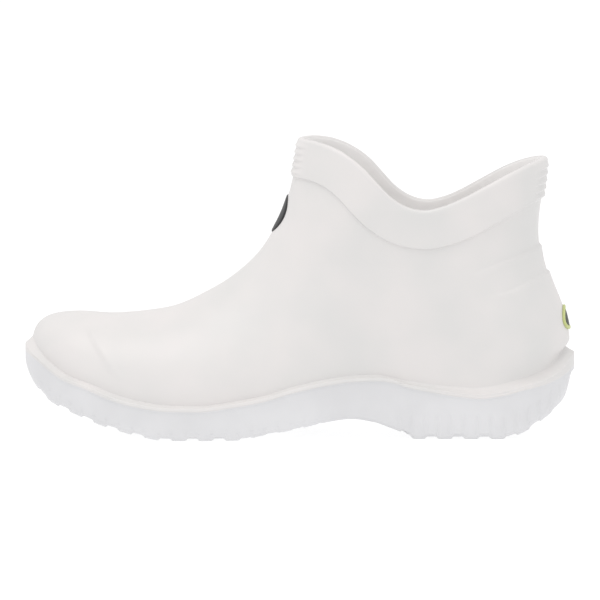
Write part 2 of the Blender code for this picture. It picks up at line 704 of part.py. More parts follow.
def make_upper():
    """The upper: a hollow moulding of one wall, open at the collar and underneath."""
    outer = solid_from_rings("upper", body_rings(body_levels(MID_CUFF_LEVEL), CLEARANCE))
    combine(outer, solid_from_rings("cuff", cuff_rings()), "UNION")
    toe_outline = line_points(TOE_LINE)
    middle = SOLE_LENGTH / 2
    toe_outline += [(toe_outline[-1][0], 0.0), (middle, 0.0), (middle, toe_outline[0][1])]
    levels = body_levels()
    combine(outer, stepped_piece("vamp", levels, toe_field, toe_outline), "UNION")
    for name, line, fade, step in (
        ("counter_high", HEEL_LINE_HIGH, HEEL_FADE_HIGH, HEEL_STEP),
        ("counter_low", HEEL_LINE_LOW, HEEL_FADE_LOW, HEEL_STEP * LOWER_STEP_SHARE),
    ):
        outline = line_points(line)
        behind = SOLE_LENGTH + BAND_WALL
        outline += [(behind, outline[-1][1]), (behind, 0.0), (outline[0][0], 0.0)]
        combine(outer, stepped_piece(name, levels, heel_field(step, fade), outline), "UNION")
    inner = pushed(body_rings(body_levels(RIM_LEVEL), CLEARANCE), -WALL)
    below = inner[:1] - np.array([0.0, 0.0, WALL])
    above = inner[-1:] + np.array([0.0, 0.0, WALL])
    combine(outer, solid_from_rings("upper_inside", np.concatenate((below, inner, above))), "DIFFERENCE")
    return finish(outer, (0.79, 0.77, 0.74), 0.45)


def outline_points():
    """The outsole's outline in plan with two points for each upright rib, and its outward directions."""
    halves = []
    for half in plan_outline():
        run = np.concatenate(([0.0], np.cumsum(np.linalg.norm(np.diff(half, axis=0), axis=1))))
        count = 2 * round(run[-1] / RIB_PITCH)
        at = np.linspace(0, run[-1], count + 1)
        halves.append(np.column_stack((np.interp(at, run, half[:, 0]), np.interp(at, run, half[:, 1]))))
    count = min(len(half) for half in halves)
    matched = []
    for half in halves:
        run = np.linspace(0, 1, len(half))
        at = np.linspace(0, 1, count)
        matched.append(np.column_stack((np.interp(at, run, half[:, 0]), np.interp(at, run, half[:, 1]))))
    loop = np.vstack((matched[0], matched[1][-2:0:-1]))
    run = np.roll(loop, -1, axis=0) - np.roll(loop, 1, axis=0)
    run = run / np.linalg.norm(run, axis=1, keepdims=True)
    out = np.column_stack((run[:, 1], -run[:, 0]))
    return loop, out


def sole_rings():
    """The outsole's outer surface from its underside's edge to the top of the bead."""
    loop, out = outline_points()
    back = loop[:, 1]
    ledge = sole_level("ledge", back)
    under_bead = ledge - sole_level("bead", back)
    shoulder = under_bead - BAND_RECESS
    foot = sole_level("round", back)
    groove = np.where(np.arange(len(loop)) % 2 == 1, SIDE_RIB_DEPTH, 0.0)
    flush = np.zeros(len(loop))

    def over_bottom(inset, rise):
        return np.minimum(sole_bottom(back - out[:, 1] * inset) + rise, shoulder - foot * FOOT_ROUND_ROOM)

    rings = []
    for inset, rise in FOOT_ROUND_ROWS:
        place = foot * inset + BAND_RECESS + groove
        rings.append((place, over_bottom(place, foot * rise)))
    ribs = np.maximum(sole_level("ribs", back), foot * RIB_OVER_ROUND)
    rings += [
        (BAND_RECESS + flush, over_bottom(BAND_RECESS + flush, ribs)),
        (BAND_RECESS + flush, shoulder),
        (flush, under_bead),
        (flush, ledge),
        (BAND_WALL * BEAD_TOP_REACH + flush, bead_top(back)),
    ]
    return np.stack([np.column_stack((loop - out * inset[:, None], up)) for inset, up in rings])


def lug_places():
    """Where the gaps between the lugs lie, behind the tip, all along the outsole but for its waist."""
    count = int((LAST_LUG - FIRST_LUG) * SOLE_LENGTH / LUG_PITCH)
    places = [FIRST_LUG * SOLE_LENGTH + LUG_PITCH * i for i in range(count + 1)]
    return [place for place in places if not WAIST_START < place / SOLE_LENGTH < WAIST_END]


def lug_gap(place):
    """The cutter for one gap: a wedge across the outsole, square to its underside, shallow near the waist."""
    thinned = soft(place / SOLE_LENGTH, *WAIST_THINNING) if place < WAIST_START * SOLE_LENGTH else 0.0
    depth = LUG_DEPTH * (1 + (WAIST_GAP_SHARE - 1) * thinned)
    half = LUG_GAP / 2
    slope = (sole_bottom(place + half) - sole_bottom(place - half)) / LUG_GAP
    along = np.array([1.0, slope]) / math.hypot(1.0, slope)
    up = np.array([-along[1], along[0]])
    centre = np.array([place, float(sole_bottom(place))])
    mouth, top = half * LUG_GAP_MOUTH, half * LUG_GAP_TOP
    corners = ((-mouth, -depth), (mouth, -depth), (top, depth), (-top, depth))
    outline = [tuple(centre + along * a + up * b) for a, b in corners]
    return side_prism("lug_gap", outline, BALL_WIDTH)


def make_outsole():
    """The outsole: a band with its bead and ribs, a plate and lugs, with the upper's own form cut out."""
    sole = solid_from_rings("outsole", sole_rings())
    cup_levels = [level for level in body_levels() if level < CUP_TOP_LEVEL]
    cup = pushed(body_rings(cup_levels, 0.0), CLEARANCE)
    cup[0, :, 2] = sole_level("floor", cup[0, :, 1])
    combine(sole, solid_from_rings("cup", cup), "DIFFERENCE")
    for place in lug_places():
        combine(sole, lug_gap(place), "DIFFERENCE")
    return finish(sole, (0.74, 0.75, 0.78), 0.5)


def make_insole():
    """The footbed: the inside of the upper between the outsole's plate and the footbed's top."""
    levels = [level for level in body_levels() if level < BED_TOP_LEVEL]
    inside = pushed(body_rings(levels, 0.0), -WALL - CLEARANCE)
    insole = solid_from_rings("insole", inside)
    back = np.linspace(0, SOLE_LENGTH, INSOLE_SAMPLES)
    floor = sole_level("floor", back) + CLEARANCE
    outline = list(zip(back, floor)) + list(zip(back[::-1], floor[::-1] + INSOLE_THICKNESS))
    combine(insole, side_prism("insole_slab", outline, BALL_WIDTH), "INTERSECT")
    return finish(insole, (0.55, 0.55, 0.54), 0.8)


def oval_prism(name, centre, tilt, width, length, depth):
    """An oval cutter through the centre line, its length tilted from upright in the side view."""
    count = OVAL_SIDES
    verts = []
    for reach in (-depth, depth):
        for i in range(count):
            angle = 2 * math.pi * i / count
            across = math.cos(angle) * width / 2
            rise = math.sin(angle) * length / 2
            back = centre[0] + rise * math.sin(tilt) + reach * math.cos(tilt)
            up = centre[1] + rise * math.cos(tilt) - reach * math.sin(tilt)
            verts.append((across, back - SOLE_LENGTH / 2, up))
    faces = [tuple(range(count)), tuple(range(count, 2 * count))]
    faces += [(i, (i + 1) % count, count + (i + 1) % count, count + i) for i in range(count)]
    return make_object(name, verts, faces)


def skin_piece(name, low, high, cutter):
    """A thin piece that follows the upper's own surface between two distances from it, cut to an outline."""
    levels = body_levels(MID_CUFF_LEVEL)
    outside = solid_from_rings(name, pushed(body_rings(levels), high))
    combine(outside, solid_from_rings(name + "_inside", pushed(body_rings(levels), low)), "DIFFERENCE")
    return combine(outside, cutter, "INTERSECT")


def make_front_patch():
    """A plain oval on the front of the shaft, below the cuff."""
    sample = sample_at(FRONT, FRONT_HEIGHT - CUFF_HEIGHT - PATCH_DROP)
    run = FRONT[sample + 1] - FRONT[sample - 1]
    tilt = math.atan2(run[0], run[1])
    centre = FRONT[sample, :2]
    cutter = oval_prism("patch_cutter", centre, tilt, PATCH_WIDTH, PATCH_LENGTH, PATCH_LENGTH)
    patch = skin_piece("front_patch", CLEARANCE, CLEARANCE + PATCH_THICKNESS, cutter)
    return finish(patch, (0.012, 0.012, 0.014), 0.5)


def make_heel_badge():
    """A plain frame on the back of the heel and the plain inlay in it."""
    lift = HEEL_STEP * LOWER_STEP_SHARE + CLEARANCE
    centre = BACK[sample_at(BACK, float(sole_level("ledge", BACK[0, 0])) + BADGE_RISE), :2]
    high = lift + BADGE_THICKNESS
    size = (BADGE_WIDTH, BADGE_LENGTH)
    hole = tuple(s - 2 * BADGE_FRAME for s in size)
    inlay = tuple(s - 2 * CLEARANCE for s in hole)
    depth = BADGE_LENGTH
    cutter = oval_prism("badge_cutter", centre, -BADGE_TILT, *size, depth)
    frame = skin_piece("heel_badge", lift, high, cutter)
    combine(frame, oval_prism("badge_hole", centre, -BADGE_TILT, *hole, depth + BADGE_FRAME), "DIFFERENCE")
    finish(frame, (0.58, 0.63, 0.28), 0.45)
    cutter = oval_prism("inlay_cutter", centre, -BADGE_TILT, *inlay, depth)
    return finish(skin_piece("heel_badge_centre", lift, high - CLEARANCE, cutter), (0.025, 0.03, 0.015), 0.5)


def main():
    for obj in list(bpy.data.objects):
        bpy.data.objects.remove(obj)
    make_outsole()
    make_upper()
    make_insole()
    make_front_patch()
    make_heel_badge()


main()
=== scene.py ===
"""Dresses the left rubber ankle boot around its CAD frame: moulded forms, finishes, floor, light and camera.

Sizes are in metres. The toe points towards -Y, the wearer's outer side is +X and +Z is up. `back` is the
distance behind the outsole's tip, `up` the height over the floor, `across` the distance from the axis to the
outer side.
"""

import math

import bmesh
import bpy
import numpy as np
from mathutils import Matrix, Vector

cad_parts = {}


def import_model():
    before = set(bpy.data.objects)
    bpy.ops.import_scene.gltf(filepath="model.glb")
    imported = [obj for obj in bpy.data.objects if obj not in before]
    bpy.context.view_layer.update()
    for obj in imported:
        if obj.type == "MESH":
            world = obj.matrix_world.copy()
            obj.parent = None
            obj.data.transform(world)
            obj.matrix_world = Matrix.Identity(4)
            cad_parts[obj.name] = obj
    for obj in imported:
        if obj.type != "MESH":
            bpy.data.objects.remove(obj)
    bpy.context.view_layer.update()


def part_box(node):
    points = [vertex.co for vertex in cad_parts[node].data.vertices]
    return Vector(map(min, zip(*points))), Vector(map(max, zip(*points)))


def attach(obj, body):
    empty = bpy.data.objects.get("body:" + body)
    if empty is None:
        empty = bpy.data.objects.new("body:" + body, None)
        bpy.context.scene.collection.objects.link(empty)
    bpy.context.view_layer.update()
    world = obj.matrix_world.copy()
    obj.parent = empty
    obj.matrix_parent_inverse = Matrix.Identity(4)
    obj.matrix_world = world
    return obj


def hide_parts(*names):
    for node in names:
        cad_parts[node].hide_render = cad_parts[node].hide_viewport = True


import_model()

# Read from the frame.
SOLE_BOX = np.array(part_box("outsole"))
SOLE_LENGTH = float(SOLE_BOX[1, 1] - SOLE_BOX[0, 1])
TIP_Y = float(SOLE_BOX[0, 1])

# Overall sizes of the outsole, as the solid has them.
BALL_WIDTH = 0.108
WAIST_WIDTH = 0.081
HEEL_WIDTH = 0.078
TOE_SPRING = 0.033
ARCH_HEIGHT = 0.011
HEEL_SPRING = 0.036
BAND_HEIGHT = 0.050
FOOTBED_HEIGHT = 0.0155

# Overall sizes of the upper.
FRONT_HEIGHT = 0.161
VAMP_HEIGHT = 0.0669
BACK_HEIGHT = 0.151
DIP_HEIGHT = 0.1243
ANKLE_WIDTH = 0.078
COLLAR_WIDTH = 0.083

# The upper's wall and the steps moulded into it.
WALL = 0.0028
CUFF_HEIGHT = 0.0213
CUFF_STEP = 0.0011
CUFF_EDGE = 0.0005
RIB_COUNT = 5
RIB_DEPTH = 0.0010
RIB_HALF_WIDTH = 0.017
TOE_STEP = 0.0003
TOE_RIDGE = 0.0004
TOE_EDGE = 0.0008
HEEL_STEP = 0.0013
STEP_EDGE = 0.0011
FADE_RISE = 0.0035
SIDE_FADE_RISE = 0.016

# The outsole's band, bead, grooves and lugs.
BAND_WALL = 0.0038
BEAD_HEIGHT = 0.0045
GROOVE_WIDTH = 0.0019
LUG_PITCH = 0.0143
LUG_DEPTH = 0.0023
FIRST_LUG = 0.1235

# The loose pieces.
INSOLE_THICKNESS = 0.0045
PATCH_THICKNESS = 0.0008
PATCH_WIDTH = 0.027
PATCH_LENGTH = 0.0225
PATCH_DROP = 0.0217
BADGE_THICKNESS = 0.0013
BADGE_WIDTH = 0.026
BADGE_LENGTH = 0.0135
BADGE_FRAME = 0.0019
BADGE_RISE = 0.0257
CLEARANCE = 0.0003

# The photograph's view: square on the boot's outer side from slightly above, through a long lens.
PIXEL = 0.0005455
IMAGE_WIDTH = 600
CAMERA_DISTANCE = 4.0
CAMERA_ELEVATION = math.radians(5.1)
CAMERA_AZIMUTH = math.radians(2.2)
AIM_BACK = 0.1503
AIM_UP = 0.0720
SENSOR_WIDTH = 36.0
CLIP_END = 50.0

# The tables hold shares of the sizes above. The first column is a share of the sole's length behind the tip,
# unless a table says otherwise.


def table(*rows):
    """Rows of numbers as an array."""
    return np.array(rows)


FRONT_ROWS = table(
    # back; up as shares of the vamp's height and of the rise from there to the collar; rounding's depth
    (0.0140, 0.50, 0.000, 0.06),
    (0.0136, 0.68, 0.000, 0.06),
    (0.0143, 0.79, 0.000, 0.08),
    (0.0235, 0.880, 0.000, 0.17),
    (0.0420, 0.940, 0.000, 0.28),
    (0.0700, 0.969, 0.000, 0.37),
    (0.1080, 0.975, 0.000, 0.47),
    (0.1500, 0.962, 0.000, 0.54),
    (0.1900, 0.968, 0.000, 0.59),
    (0.2330, 0.987, 0.002, 0.64),
    (0.2750, 1.000, 0.020, 0.69),
    (0.3190, 1.000, 0.082, 0.74),
    (0.3650, 1.000, 0.165, 0.78),
    (0.3960, 1.000, 0.240, 0.80),
    (0.4260, 1.000, 0.335, 0.80),
    (0.4500, 1.000, 0.450, 0.78),
    (0.4690, 1.000, 0.570, 0.75),
    (0.4830, 1.000, 0.705, 0.72),
    (0.4930, 1.000, 0.850, 0.70),
    (0.5010, 1.000, 1.000, 0.70),
)
BACK_ROWS = table(
    # back; up as a share of the back's height; rounding's depth as a share of the heel's width
    (0.9765, 0.17, 0.50),
    (0.9812, 0.26, 0.50),
    (0.9825, 0.335, 0.51),
    (0.9775, 0.405, 0.53),
    (0.9665, 0.477, 0.56),
    (0.9545, 0.535, 0.58),
    (0.9435, 0.600, 0.60),
    (0.9365, 0.667, 0.61),
    (0.9340, 0.728, 0.61),
    (0.9352, 0.788, 0.61),
    (0.9390, 0.848, 0.61),
    (0.9437, 0.915, 0.61),
    (0.9475, 1.000, 0.61),
)
RIM_ROWS = table(
    # along the collar from front to back; shares of the front's and of the back's rise over the dip
    (0.000, 1.000, 0.000),
    (0.040, 0.995, 0.000),
    (0.093, 0.965, 0.000),
    (0.165, 0.872, 0.000),
    (0.220, 0.750, 0.000),
    (0.273, 0.592, 0.000),
    (0.330, 0.372, 0.000),
    (0.380, 0.190, 0.000),
    (0.431, 0.070, 0.000),
    (0.476, 0.015, 0.000),
    (0.516, 0.000, 0.000),
    (0.571, 0.000, 0.055),
    (0.646, 0.000, 0.200),
    (0.729, 0.000, 0.405),
    (0.812, 0.000, 0.620),
    (0.872, 0.000, 0.765),
    (0.934, 0.000, 0.895),
    (1.000, 0.000, 1.000),
)

PLAN_ROWS = table(
    # back; outer side's shares of ball, waist and heel width; inner side's shares of the same; ridge
    (0.00, 0.515, 0.00, 0.00, 0.465, 0.00, 0.00, -0.035),
    (0.20, 0.518, 0.00, 0.00, 0.480, 0.00, 0.00, -0.045),
    (0.32, 0.514, 0.00, 0.00, 0.486, 0.00, 0.00, -0.042),
    (0.43, 0.465, 0.00, 0.00, 0.430, 0.00, 0.00, -0.024),
    (0.53, 0.200, 0.31, 0.00, 0.190, 0.28, 0.00, -0.008),
    (0.62, 0.000, 0.51, 0.00, 0.000, 0.49, 0.00, 0.000),
    (0.72, 0.000, 0.00, 0.51, 0.000, 0.00, 0.49, 0.000),
    (0.86, 0.000, 0.00, 0.50, 0.000, 0.00, 0.50, 0.000),
    (1.00, 0.000, 0.00, 0.49, 0.000, 0.00, 0.49, 0.000),
)
BOTTOM_ROWS = table(
    # back; shares of the toe spring, the arch's height and the heel's spring
    (0.000, 1.000, 0.00, 0.00),
    (0.008, 0.900, 0.00, 0.00),
    (0.026, 0.730, 0.00, 0.00),
    (0.044, 0.600, 0.00, 0.00),
    (0.065, 0.500, 0.00, 0.00),
    (0.095, 0.400, 0.00, 0.00),
    (0.130, 0.285, 0.00, 0.00),
    (0.182, 0.145, 0.00, 0.00),
    (0.230, 0.045, 0.00, 0.00),
    (0.265, 0.000, 0.00, 0.00),
    (0.395, 0.000, 0.00, 0.00),
    (0.437, 0.000, 0.22, 0.00),
    (0.499, 0.000, 0.52, 0.00),
    (0.556, 0.000, 0.87, 0.00),
    (0.597, 0.000, 1.00, 0.00),
    (0.640, 0.000, 0.83, 0.00),
    (0.666, 0.000, 0.58, 0.00),
    (0.686, 0.000, 0.36, 0.00),
    (0.701, 0.000, 0.11, 0.00),
    (0.715, 0.000, 0.00, 0.00),
    (0.872, 0.000, 0.00, 0.00),
    (0.905, 0.000, 0.00, 0.08),
    (0.923, 0.000, 0.00, 0.155),
    (0.939, 0.000, 0.00, 0.245),
    (0.955, 0.000, 0.00, 0.335),
    (0.972, 0.000, 0.00, 0.455),
    (0.985, 0.000, 0.00, 0.60),
    (0.993, 0.000, 0.00, 0.82),
    (1.000, 0.000, 0.00, 1.00),
)
# Ledge, ribs and round are shares of the band's height, bead and slope of the bead's, floor of the footbed's.
LEVEL_COLUMNS = ("back", "ledge", "bead", "slope", "ribs", "round", "floor")
LEVEL_ROWS = table(
    (0.000, 0.971, 0.90, 0.85, 0.16, 0.150, 2.60),
    (0.013, 0.905, 0.52, 0.38, 0.16, 0.150, 2.40),
    (0.036, 0.797, 0.27, 0.12, 0.14, 0.130, 1.95),
    (0.076, 0.647, 0.26, 0.12, 0.10, 0.110, 1.55),
    (0.119, 0.565, 0.28, 0.13, 0.09, 0.080, 1.28),
    (0.163, 0.467, 0.34, 0.15, 0.09, 0.060, 1.02),
    (0.210, 0.395, 0.34, 0.15, 0.09, 0.050, 0.80),
    (0.265, 0.351, 0.34, 0.15, 0.09, 0.045, 0.64),
    (0.322, 0.345, 0.34, 0.15, 0.09, 0.040, 0.60),
    (0.382, 0.385, 0.34, 0.15, 0.09, 0.040, 0.62),
    (0.440, 0.445, 0.34, 0.15, 0.09, 0.040, 0.74),
    (0.498, 0.545, 0.34, 0.15, 0.08, 0.040, 0.88),
    (0.561, 0.623, 0.35, 0.15, 0.06, 0.040, 0.98),
    (0.602, 0.654, 0.36, 0.15, 0.05, 0.040, 1.02),
    (0.621, 0.658, 0.36, 0.15, 0.05, 0.040, 1.03),
    (0.635, 0.662, 0.36, 0.15, 0.05, 0.040, 1.03),
    (0.649, 0.662, 0.36, 0.15, 0.06, 0.040, 1.03),
    (0.673, 0.642, 0.37, 0.15, 0.13, 0.040, 1.03),
    (0.700, 0.601, 0.48, 0.26, 0.26, 0.042, 1.02),
    (0.735, 0.568, 0.58, 0.32, 0.29, 0.045, 1.02),
    (0.790, 0.527, 0.72, 0.40, 0.29, 0.045, 1.01),
    (0.831, 0.512, 0.80, 0.42, 0.29, 0.045, 1.00),
    (0.871, 0.535, 0.72, 0.42, 0.29, 0.050, 1.00),
    (0.903, 0.581, 0.68, 0.42, 0.29, 0.070, 1.03),
    (0.949, 0.652, 0.75, 0.45, 0.29, 0.110, 1.22),
    (0.967, 0.702, 0.88, 0.50, 0.29, 0.130, 1.48),
    (0.985, 0.790, 1.22, 0.56, 0.27, 0.140, 1.85),
    (1.000, 0.894, 1.60, 0.60, 0.25, 0.140, 2.10),
)

# The lines of the toe's step and the heel's two steps: back, and up as a share of the vamp's height.
TOE_LINE = table(
    (0.100, 1.20), (0.112, 1.00), (0.1235, 0.84), (0.149, 0.66), (0.178, 0.495), (0.213, 0.42), (0.250, 0.36)
)
HEEL_LINE_HIGH = table(
    (0.80, 1.31), (0.834, 1.362), (0.860, 1.415), (0.881, 1.444), (0.918, 1.508), (0.96, 1.59)
)
HEEL_LINE_LOW = table(
    (0.82, 1.12), (0.857, 1.166), (0.881, 1.190), (0.904, 1.236), (0.927, 1.281), (0.97, 1.37)
)

# Where those steps begin and end: the toe's and the heel's along the sole, and the toe's up the vamp.
TOE_FADE = (0.34, 0.13)
TOE_FADE_UP = (0.84, 0.93)
TOE_FADE_DOWN = (0.44, 0.62)
HEEL_FADE_HIGH = (0.80, 0.88)
HEEL_FADE_LOW = (0.83, 0.91)

# How far the plan's rounding reaches at the toe's two sides and the heel, as shares of the ball's and the
# heel's width, and the powers that set how square the plan and the section are.
TOE_ROUND = {1: 0.80, -1: 0.66}
HEEL_ROUND = 0.54
PLAN_POWER = 2.2
SECTION_POWER = 2.1

# Where the last's section turns from the foot's into the shaft's.
SHAFT_FLARE = 0.75
SHAFT_UP = (0.35, 1.35)
SHAFT_ALONG = (0.20, 0.45)
SQUARE_ALONG = (0.19, 0.32)

# The cuff's lower edge: the step that gives the rim's run, and how its ends bend to the silhouettes.
RIM_STEP = 0.004
CUFF_BACK_SHARE = 1.1
CUFF_END_SHARE = 0.25


# Reading tables and lines


def eased(knots, values, at):
    """Cubic pieces between rows, with the harmonic mean of the slopes beside each, so none swings past one."""
    step = np.diff(knots)
    slope = np.diff(values) / step
    inner = slope[:-1] * slope[1:] > 0
    weight_a = 2 * step[1:] + step[:-1]
    weight_b = step[1:] + 2 * step[:-1]
    safe_a = np.where(inner, slope[:-1], 1.0)
    safe_b = np.where(inner, slope[1:], 1.0)
    middle = np.where(inner, (weight_a + weight_b) / (weight_a / safe_a + weight_b / safe_b), 0.0)
    lean = np.concatenate((slope[:1], middle, slope[-1:]))
    at = np.clip(np.asarray(at, float), knots[0], knots[-1])
    row = np.clip(np.searchsorted(knots, at, side="right") - 1, 0, len(step) - 1)
    t = (at - knots[row]) / step[row]
    start = (2 * t**3 - 3 * t**2 + 1) * values[row] + (t**3 - 2 * t**2 + t) * step[row] * lean[row]
    end = (3 * t**2 - 2 * t**3) * values[row + 1] + (t**3 - t**2) * step[row] * lean[row + 1]
    return start + end


def spline(points, count):
    """A natural cubic curve through points, its knots at their chord lengths, read at `count` even shares."""
    chord = np.linalg.norm(np.diff(points[:, :2], axis=0), axis=1)
    knots = np.concatenate(([0.0], np.cumsum(chord))) / chord.sum()
    step = np.diff(knots)[:, None]
    slope = np.diff(points, axis=0) / step
    size = len(points)
    inside = np.arange(1, size - 1)
    matrix = np.eye(size)
    matrix[inside, inside - 1] = step[:-1, 0]
    matrix[inside, inside] = 2 * (step[:-1, 0] + step[1:, 0])
    matrix[inside, inside + 1] = step[1:, 0]
    wanted = np.zeros_like(points)
    wanted[1:-1] = 6 * np.diff(slope, axis=0)
    bend = np.linalg.solve(matrix, wanted)
    at = np.linspace(0, 1, count)
    row = np.clip(np.searchsorted(knots, at, side="right") - 1, 0, size - 2)
    width = step[row]
    u = (at - knots[row])[:, None] / width
    v = 1 - u
    bent = ((v**3 - v) * bend[row] + (u**3 - u) * bend[row + 1]) * width**2 / 6
    return v * points[row] + u * points[row + 1] + bent


def along_sole(rows, back, values=None):
    """A table's second column, or values worked out from its rows, read at a distance behind the tip."""
    return eased(rows[:, 0], rows[:, 1] if values is None else values, np.asarray(back) / SOLE_LENGTH)


def soft(value, low, high):
    """The cubic 3t^2 - 2t^3 between low and high, 0 before and 1 after."""
    t = np.clip((value - low) / (high - low), 0.0, 1.0)
    return t * t * (3 - 2 * t)


def dome(share, power):
    """A quarter of a superellipse: 0 at share 0, upright there, and level at 1 from share 1 on."""
    return (1 - (1 - np.clip(share, 0.0, 1.0)) ** power) ** (1 / power)


def unit(vectors):
    """Vectors of length 1 along the same directions."""
    return vectors / np.maximum(np.linalg.norm(vectors, axis=-1, keepdims=True), 1e-12)


def crowded(count):
    """Shares from 0 to 1, closer together at both ends: half of one minus the cosine of an even turn."""
    return (1 - np.cos(np.linspace(0, math.pi, count))) / 2


def run_of(line):
    """The running length along a line of points."""
    return np.concatenate(([0.0], np.cumsum(np.linalg.norm(np.diff(line, axis=0), axis=1))))


def loop_of(halves):
    """One closed loop of points: back along the outer half, forward along the inner one, shared ends once."""
    return np.concatenate((halves[0], halves[1][..., -2:0:-1, :]), axis=-2)


# The last: the form that upper, outsole and footbed share

SILHOUETTE_SAMPLES = 2400
FRONT_UP = FRONT_ROWS[:, 1] * VAMP_HEIGHT + FRONT_ROWS[:, 2] * (FRONT_HEIGHT - VAMP_HEIGHT)
FRONT_DEPTH = FRONT_ROWS[:, 3] * VAMP_HEIGHT
FRONT = spline(np.column_stack((FRONT_ROWS[:, 0] * SOLE_LENGTH, FRONT_UP, FRONT_DEPTH)), SILHOUETTE_SAMPLES)
BACK = spline(BACK_ROWS * np.array([SOLE_LENGTH, BACK_HEIGHT, HEEL_WIDTH]), SILHOUETTE_SAMPLES)
NOSE_BACK = float(FRONT[:, 0].min())


def sole_level(name, back):
    """One of the outsole's side-view lines or sizes: ledge, bead, slope, ribs, round or floor."""
    size = {"floor": FOOTBED_HEIGHT, "bead": BEAD_HEIGHT, "slope": BEAD_HEIGHT}.get(name, BAND_HEIGHT)
    return along_sole(LEVEL_ROWS, back, LEVEL_ROWS[:, LEVEL_COLUMNS.index(name)] * size)


def bead_inner(back):
    """The height at which the bead's sloping top reaches the upper, from the outline's place beside it."""
    return sole_level("ledge", back) + sole_level("slope", back)


def bead_square(back):
    """How square the bead is: 0 along the foot, where it flows into the upper, 1 where its face is tall."""
    return along_sole(SQUARE_ROWS, back)


def bead_fillet(back):
    """The height of the fillet from the bead's top into the upper, smaller where the bead is square."""
    return BEAD_FILLET * (1 - SQUARE_FILLET_LOSS * bead_square(back))


def sole_bottom(back):
    """The height of the outsole's underside over the floor."""
    heights = BOTTOM_ROWS[:, 1:] @ np.array([TOE_SPRING, ARCH_HEIGHT, HEEL_SPRING])
    return along_sole(BOTTOM_ROWS, back, heights)


def ridge(back):
    """Where the last's ridge and tip stand across the boot."""
    return along_sole(PLAN_ROWS, back, PLAN_ROWS[:, 7] * BALL_WIDTH)


def plan_full(back, side):
    """The outsole's half width from the axis before its toe and heel are rounded."""
    shares = PLAN_ROWS[:, 1:4] if side > 0 else PLAN_ROWS[:, 4:7]
    return along_sole(PLAN_ROWS, back, shares @ np.array([BALL_WIDTH, WAIST_WIDTH, HEEL_WIDTH]))


def plan_half(back, side):
    """The outsole's half width from the ridge: the full width times a dome for the toe and the heel."""
    full = plan_full(back, side) - side * ridge(back)
    toe = dome(back / (TOE_ROUND[side] * BALL_WIDTH), PLAN_POWER)
    return full * toe * dome((SOLE_LENGTH - back) / (HEEL_ROUND * HEEL_WIDTH), PLAN_POWER)


def gap_to_front(back, up):
    """The distance in the side view to the front silhouette, as a share of the rounding's depth there."""
    shares = np.empty_like(back)
    for row in range(len(back)):
        near = np.hypot(back[row][:, None] - FRONT[:, 0], up[row][:, None] - FRONT[:, 1]).argmin(axis=1)
        first = np.clip(near - 1, 0, len(FRONT) - 3)
        best = np.full(back.shape[1], np.inf)
        for start in (first, first + 1):
            leg = FRONT[start + 1, :2] - FRONT[start, :2]
            away = np.column_stack((back[row], up[row])) - FRONT[start, :2]
            along = np.clip((away * leg).sum(axis=1) / (leg * leg).sum(axis=1), 0, 1)
            best = np.minimum(best, np.linalg.norm(away - along[:, None] * leg, axis=1))
        shares[row] = best / FRONT[near, 2]
    return shares


def last_shares(back, up):
    """How far each place lies inside the front and the back silhouette, in shares of their rounding's depth.

    The front's share is the drop under it over the toe, and the distance square to it behind that.
    """
    drop = np.interp(back, FRONT[:, 0], FRONT[:, 1]) - up
    drop = drop / np.interp(back, FRONT[:, 0], FRONT[:, 2])
    square = gap_to_front(back, up)
    front = drop + (square - drop) * soft(back / SOLE_LENGTH, *SQUARE_ALONG)
    heel = np.interp(up, BACK[:, 1], BACK[:, 0]) - back
    return front, heel / np.interp(up, BACK[:, 1], BACK[:, 2])


def last_half(back, up, side, shares):
    """The last's half width from its ridge: the plan's below, the shaft's above, times a dome at each end."""
    inset = BAND_WALL + CLEARANCE
    toe = dome((back - NOSE_BACK) / (TOE_ROUND[side] * BALL_WIDTH - inset), PLAN_POWER)
    width = (plan_full(back, side) - inset - side * ridge(back)) * toe
    shaft = np.interp(up, (DIP_HEIGHT * SHAFT_FLARE, DIP_HEIGHT), (ANKLE_WIDTH / 2, COLLAR_WIDTH / 2))
    to_shaft = soft(up / VAMP_HEIGHT, *SHAFT_UP) * soft(back / SOLE_LENGTH, *SHAFT_ALONG)
    width = width + (shaft - width) * to_shaft
    return width * dome(shares[0], SECTION_POWER) * dome(shares[1], SECTION_POWER)


def sample_at(line, up):
    """A silhouette's first sample at or over a height."""
    return int(np.argmax(line[:, 1] >= up))


def rim_line(share):
    """The collar's rim in the side view, from front to back."""
    rise = RIM_ROWS[:, 1] * (FRONT_HEIGHT - DIP_HEIGHT) + RIM_ROWS[:, 2] * (BACK_HEIGHT - DIP_HEIGHT)
    back = FRONT[-1, 0] + share * (BACK[-1, 0] - FRONT[-1, 0])
    return np.column_stack((back, DIP_HEIGHT + eased(RIM_ROWS[:, 0], rise, share)))


def cuff_line(share):
    """The cuff's lower edge: the rim moved down square to itself, its ends brought to the silhouettes."""
    run = unit(rim_line(np.clip(share + RIM_STEP, 0, 1)) - rim_line(np.clip(share - RIM_STEP, 0, 1)))
    line = rim_line(share) + np.column_stack((run[:, 1], -run[:, 0])) * CUFF_HEIGHT
    front = FRONT[sample_at(FRONT, FRONT_HEIGHT - CUFF_HEIGHT), :2]
    back = BACK[sample_at(BACK, BACK_HEIGHT - CUFF_HEIGHT * CUFF_BACK_SHARE), :2]
    at_front = np.clip(1 - share / CUFF_END_SHARE, 0, 1)[:, None] ** 2
    at_back = np.clip(1 - (1 - share) / CUFF_END_SHARE, 0, 1)[:, None] ** 2
    return line - at_front * (line[0] - front) - at_back * (line[-1] - back)


def foot_line(share):
    """The upper's bottom edge, just over the outsole's plate."""
    back = NOSE_BACK + share * (BACK[0, 0] - NOSE_BACK)
    return np.column_stack((back, sole_level("floor", back) + CLEARANCE))


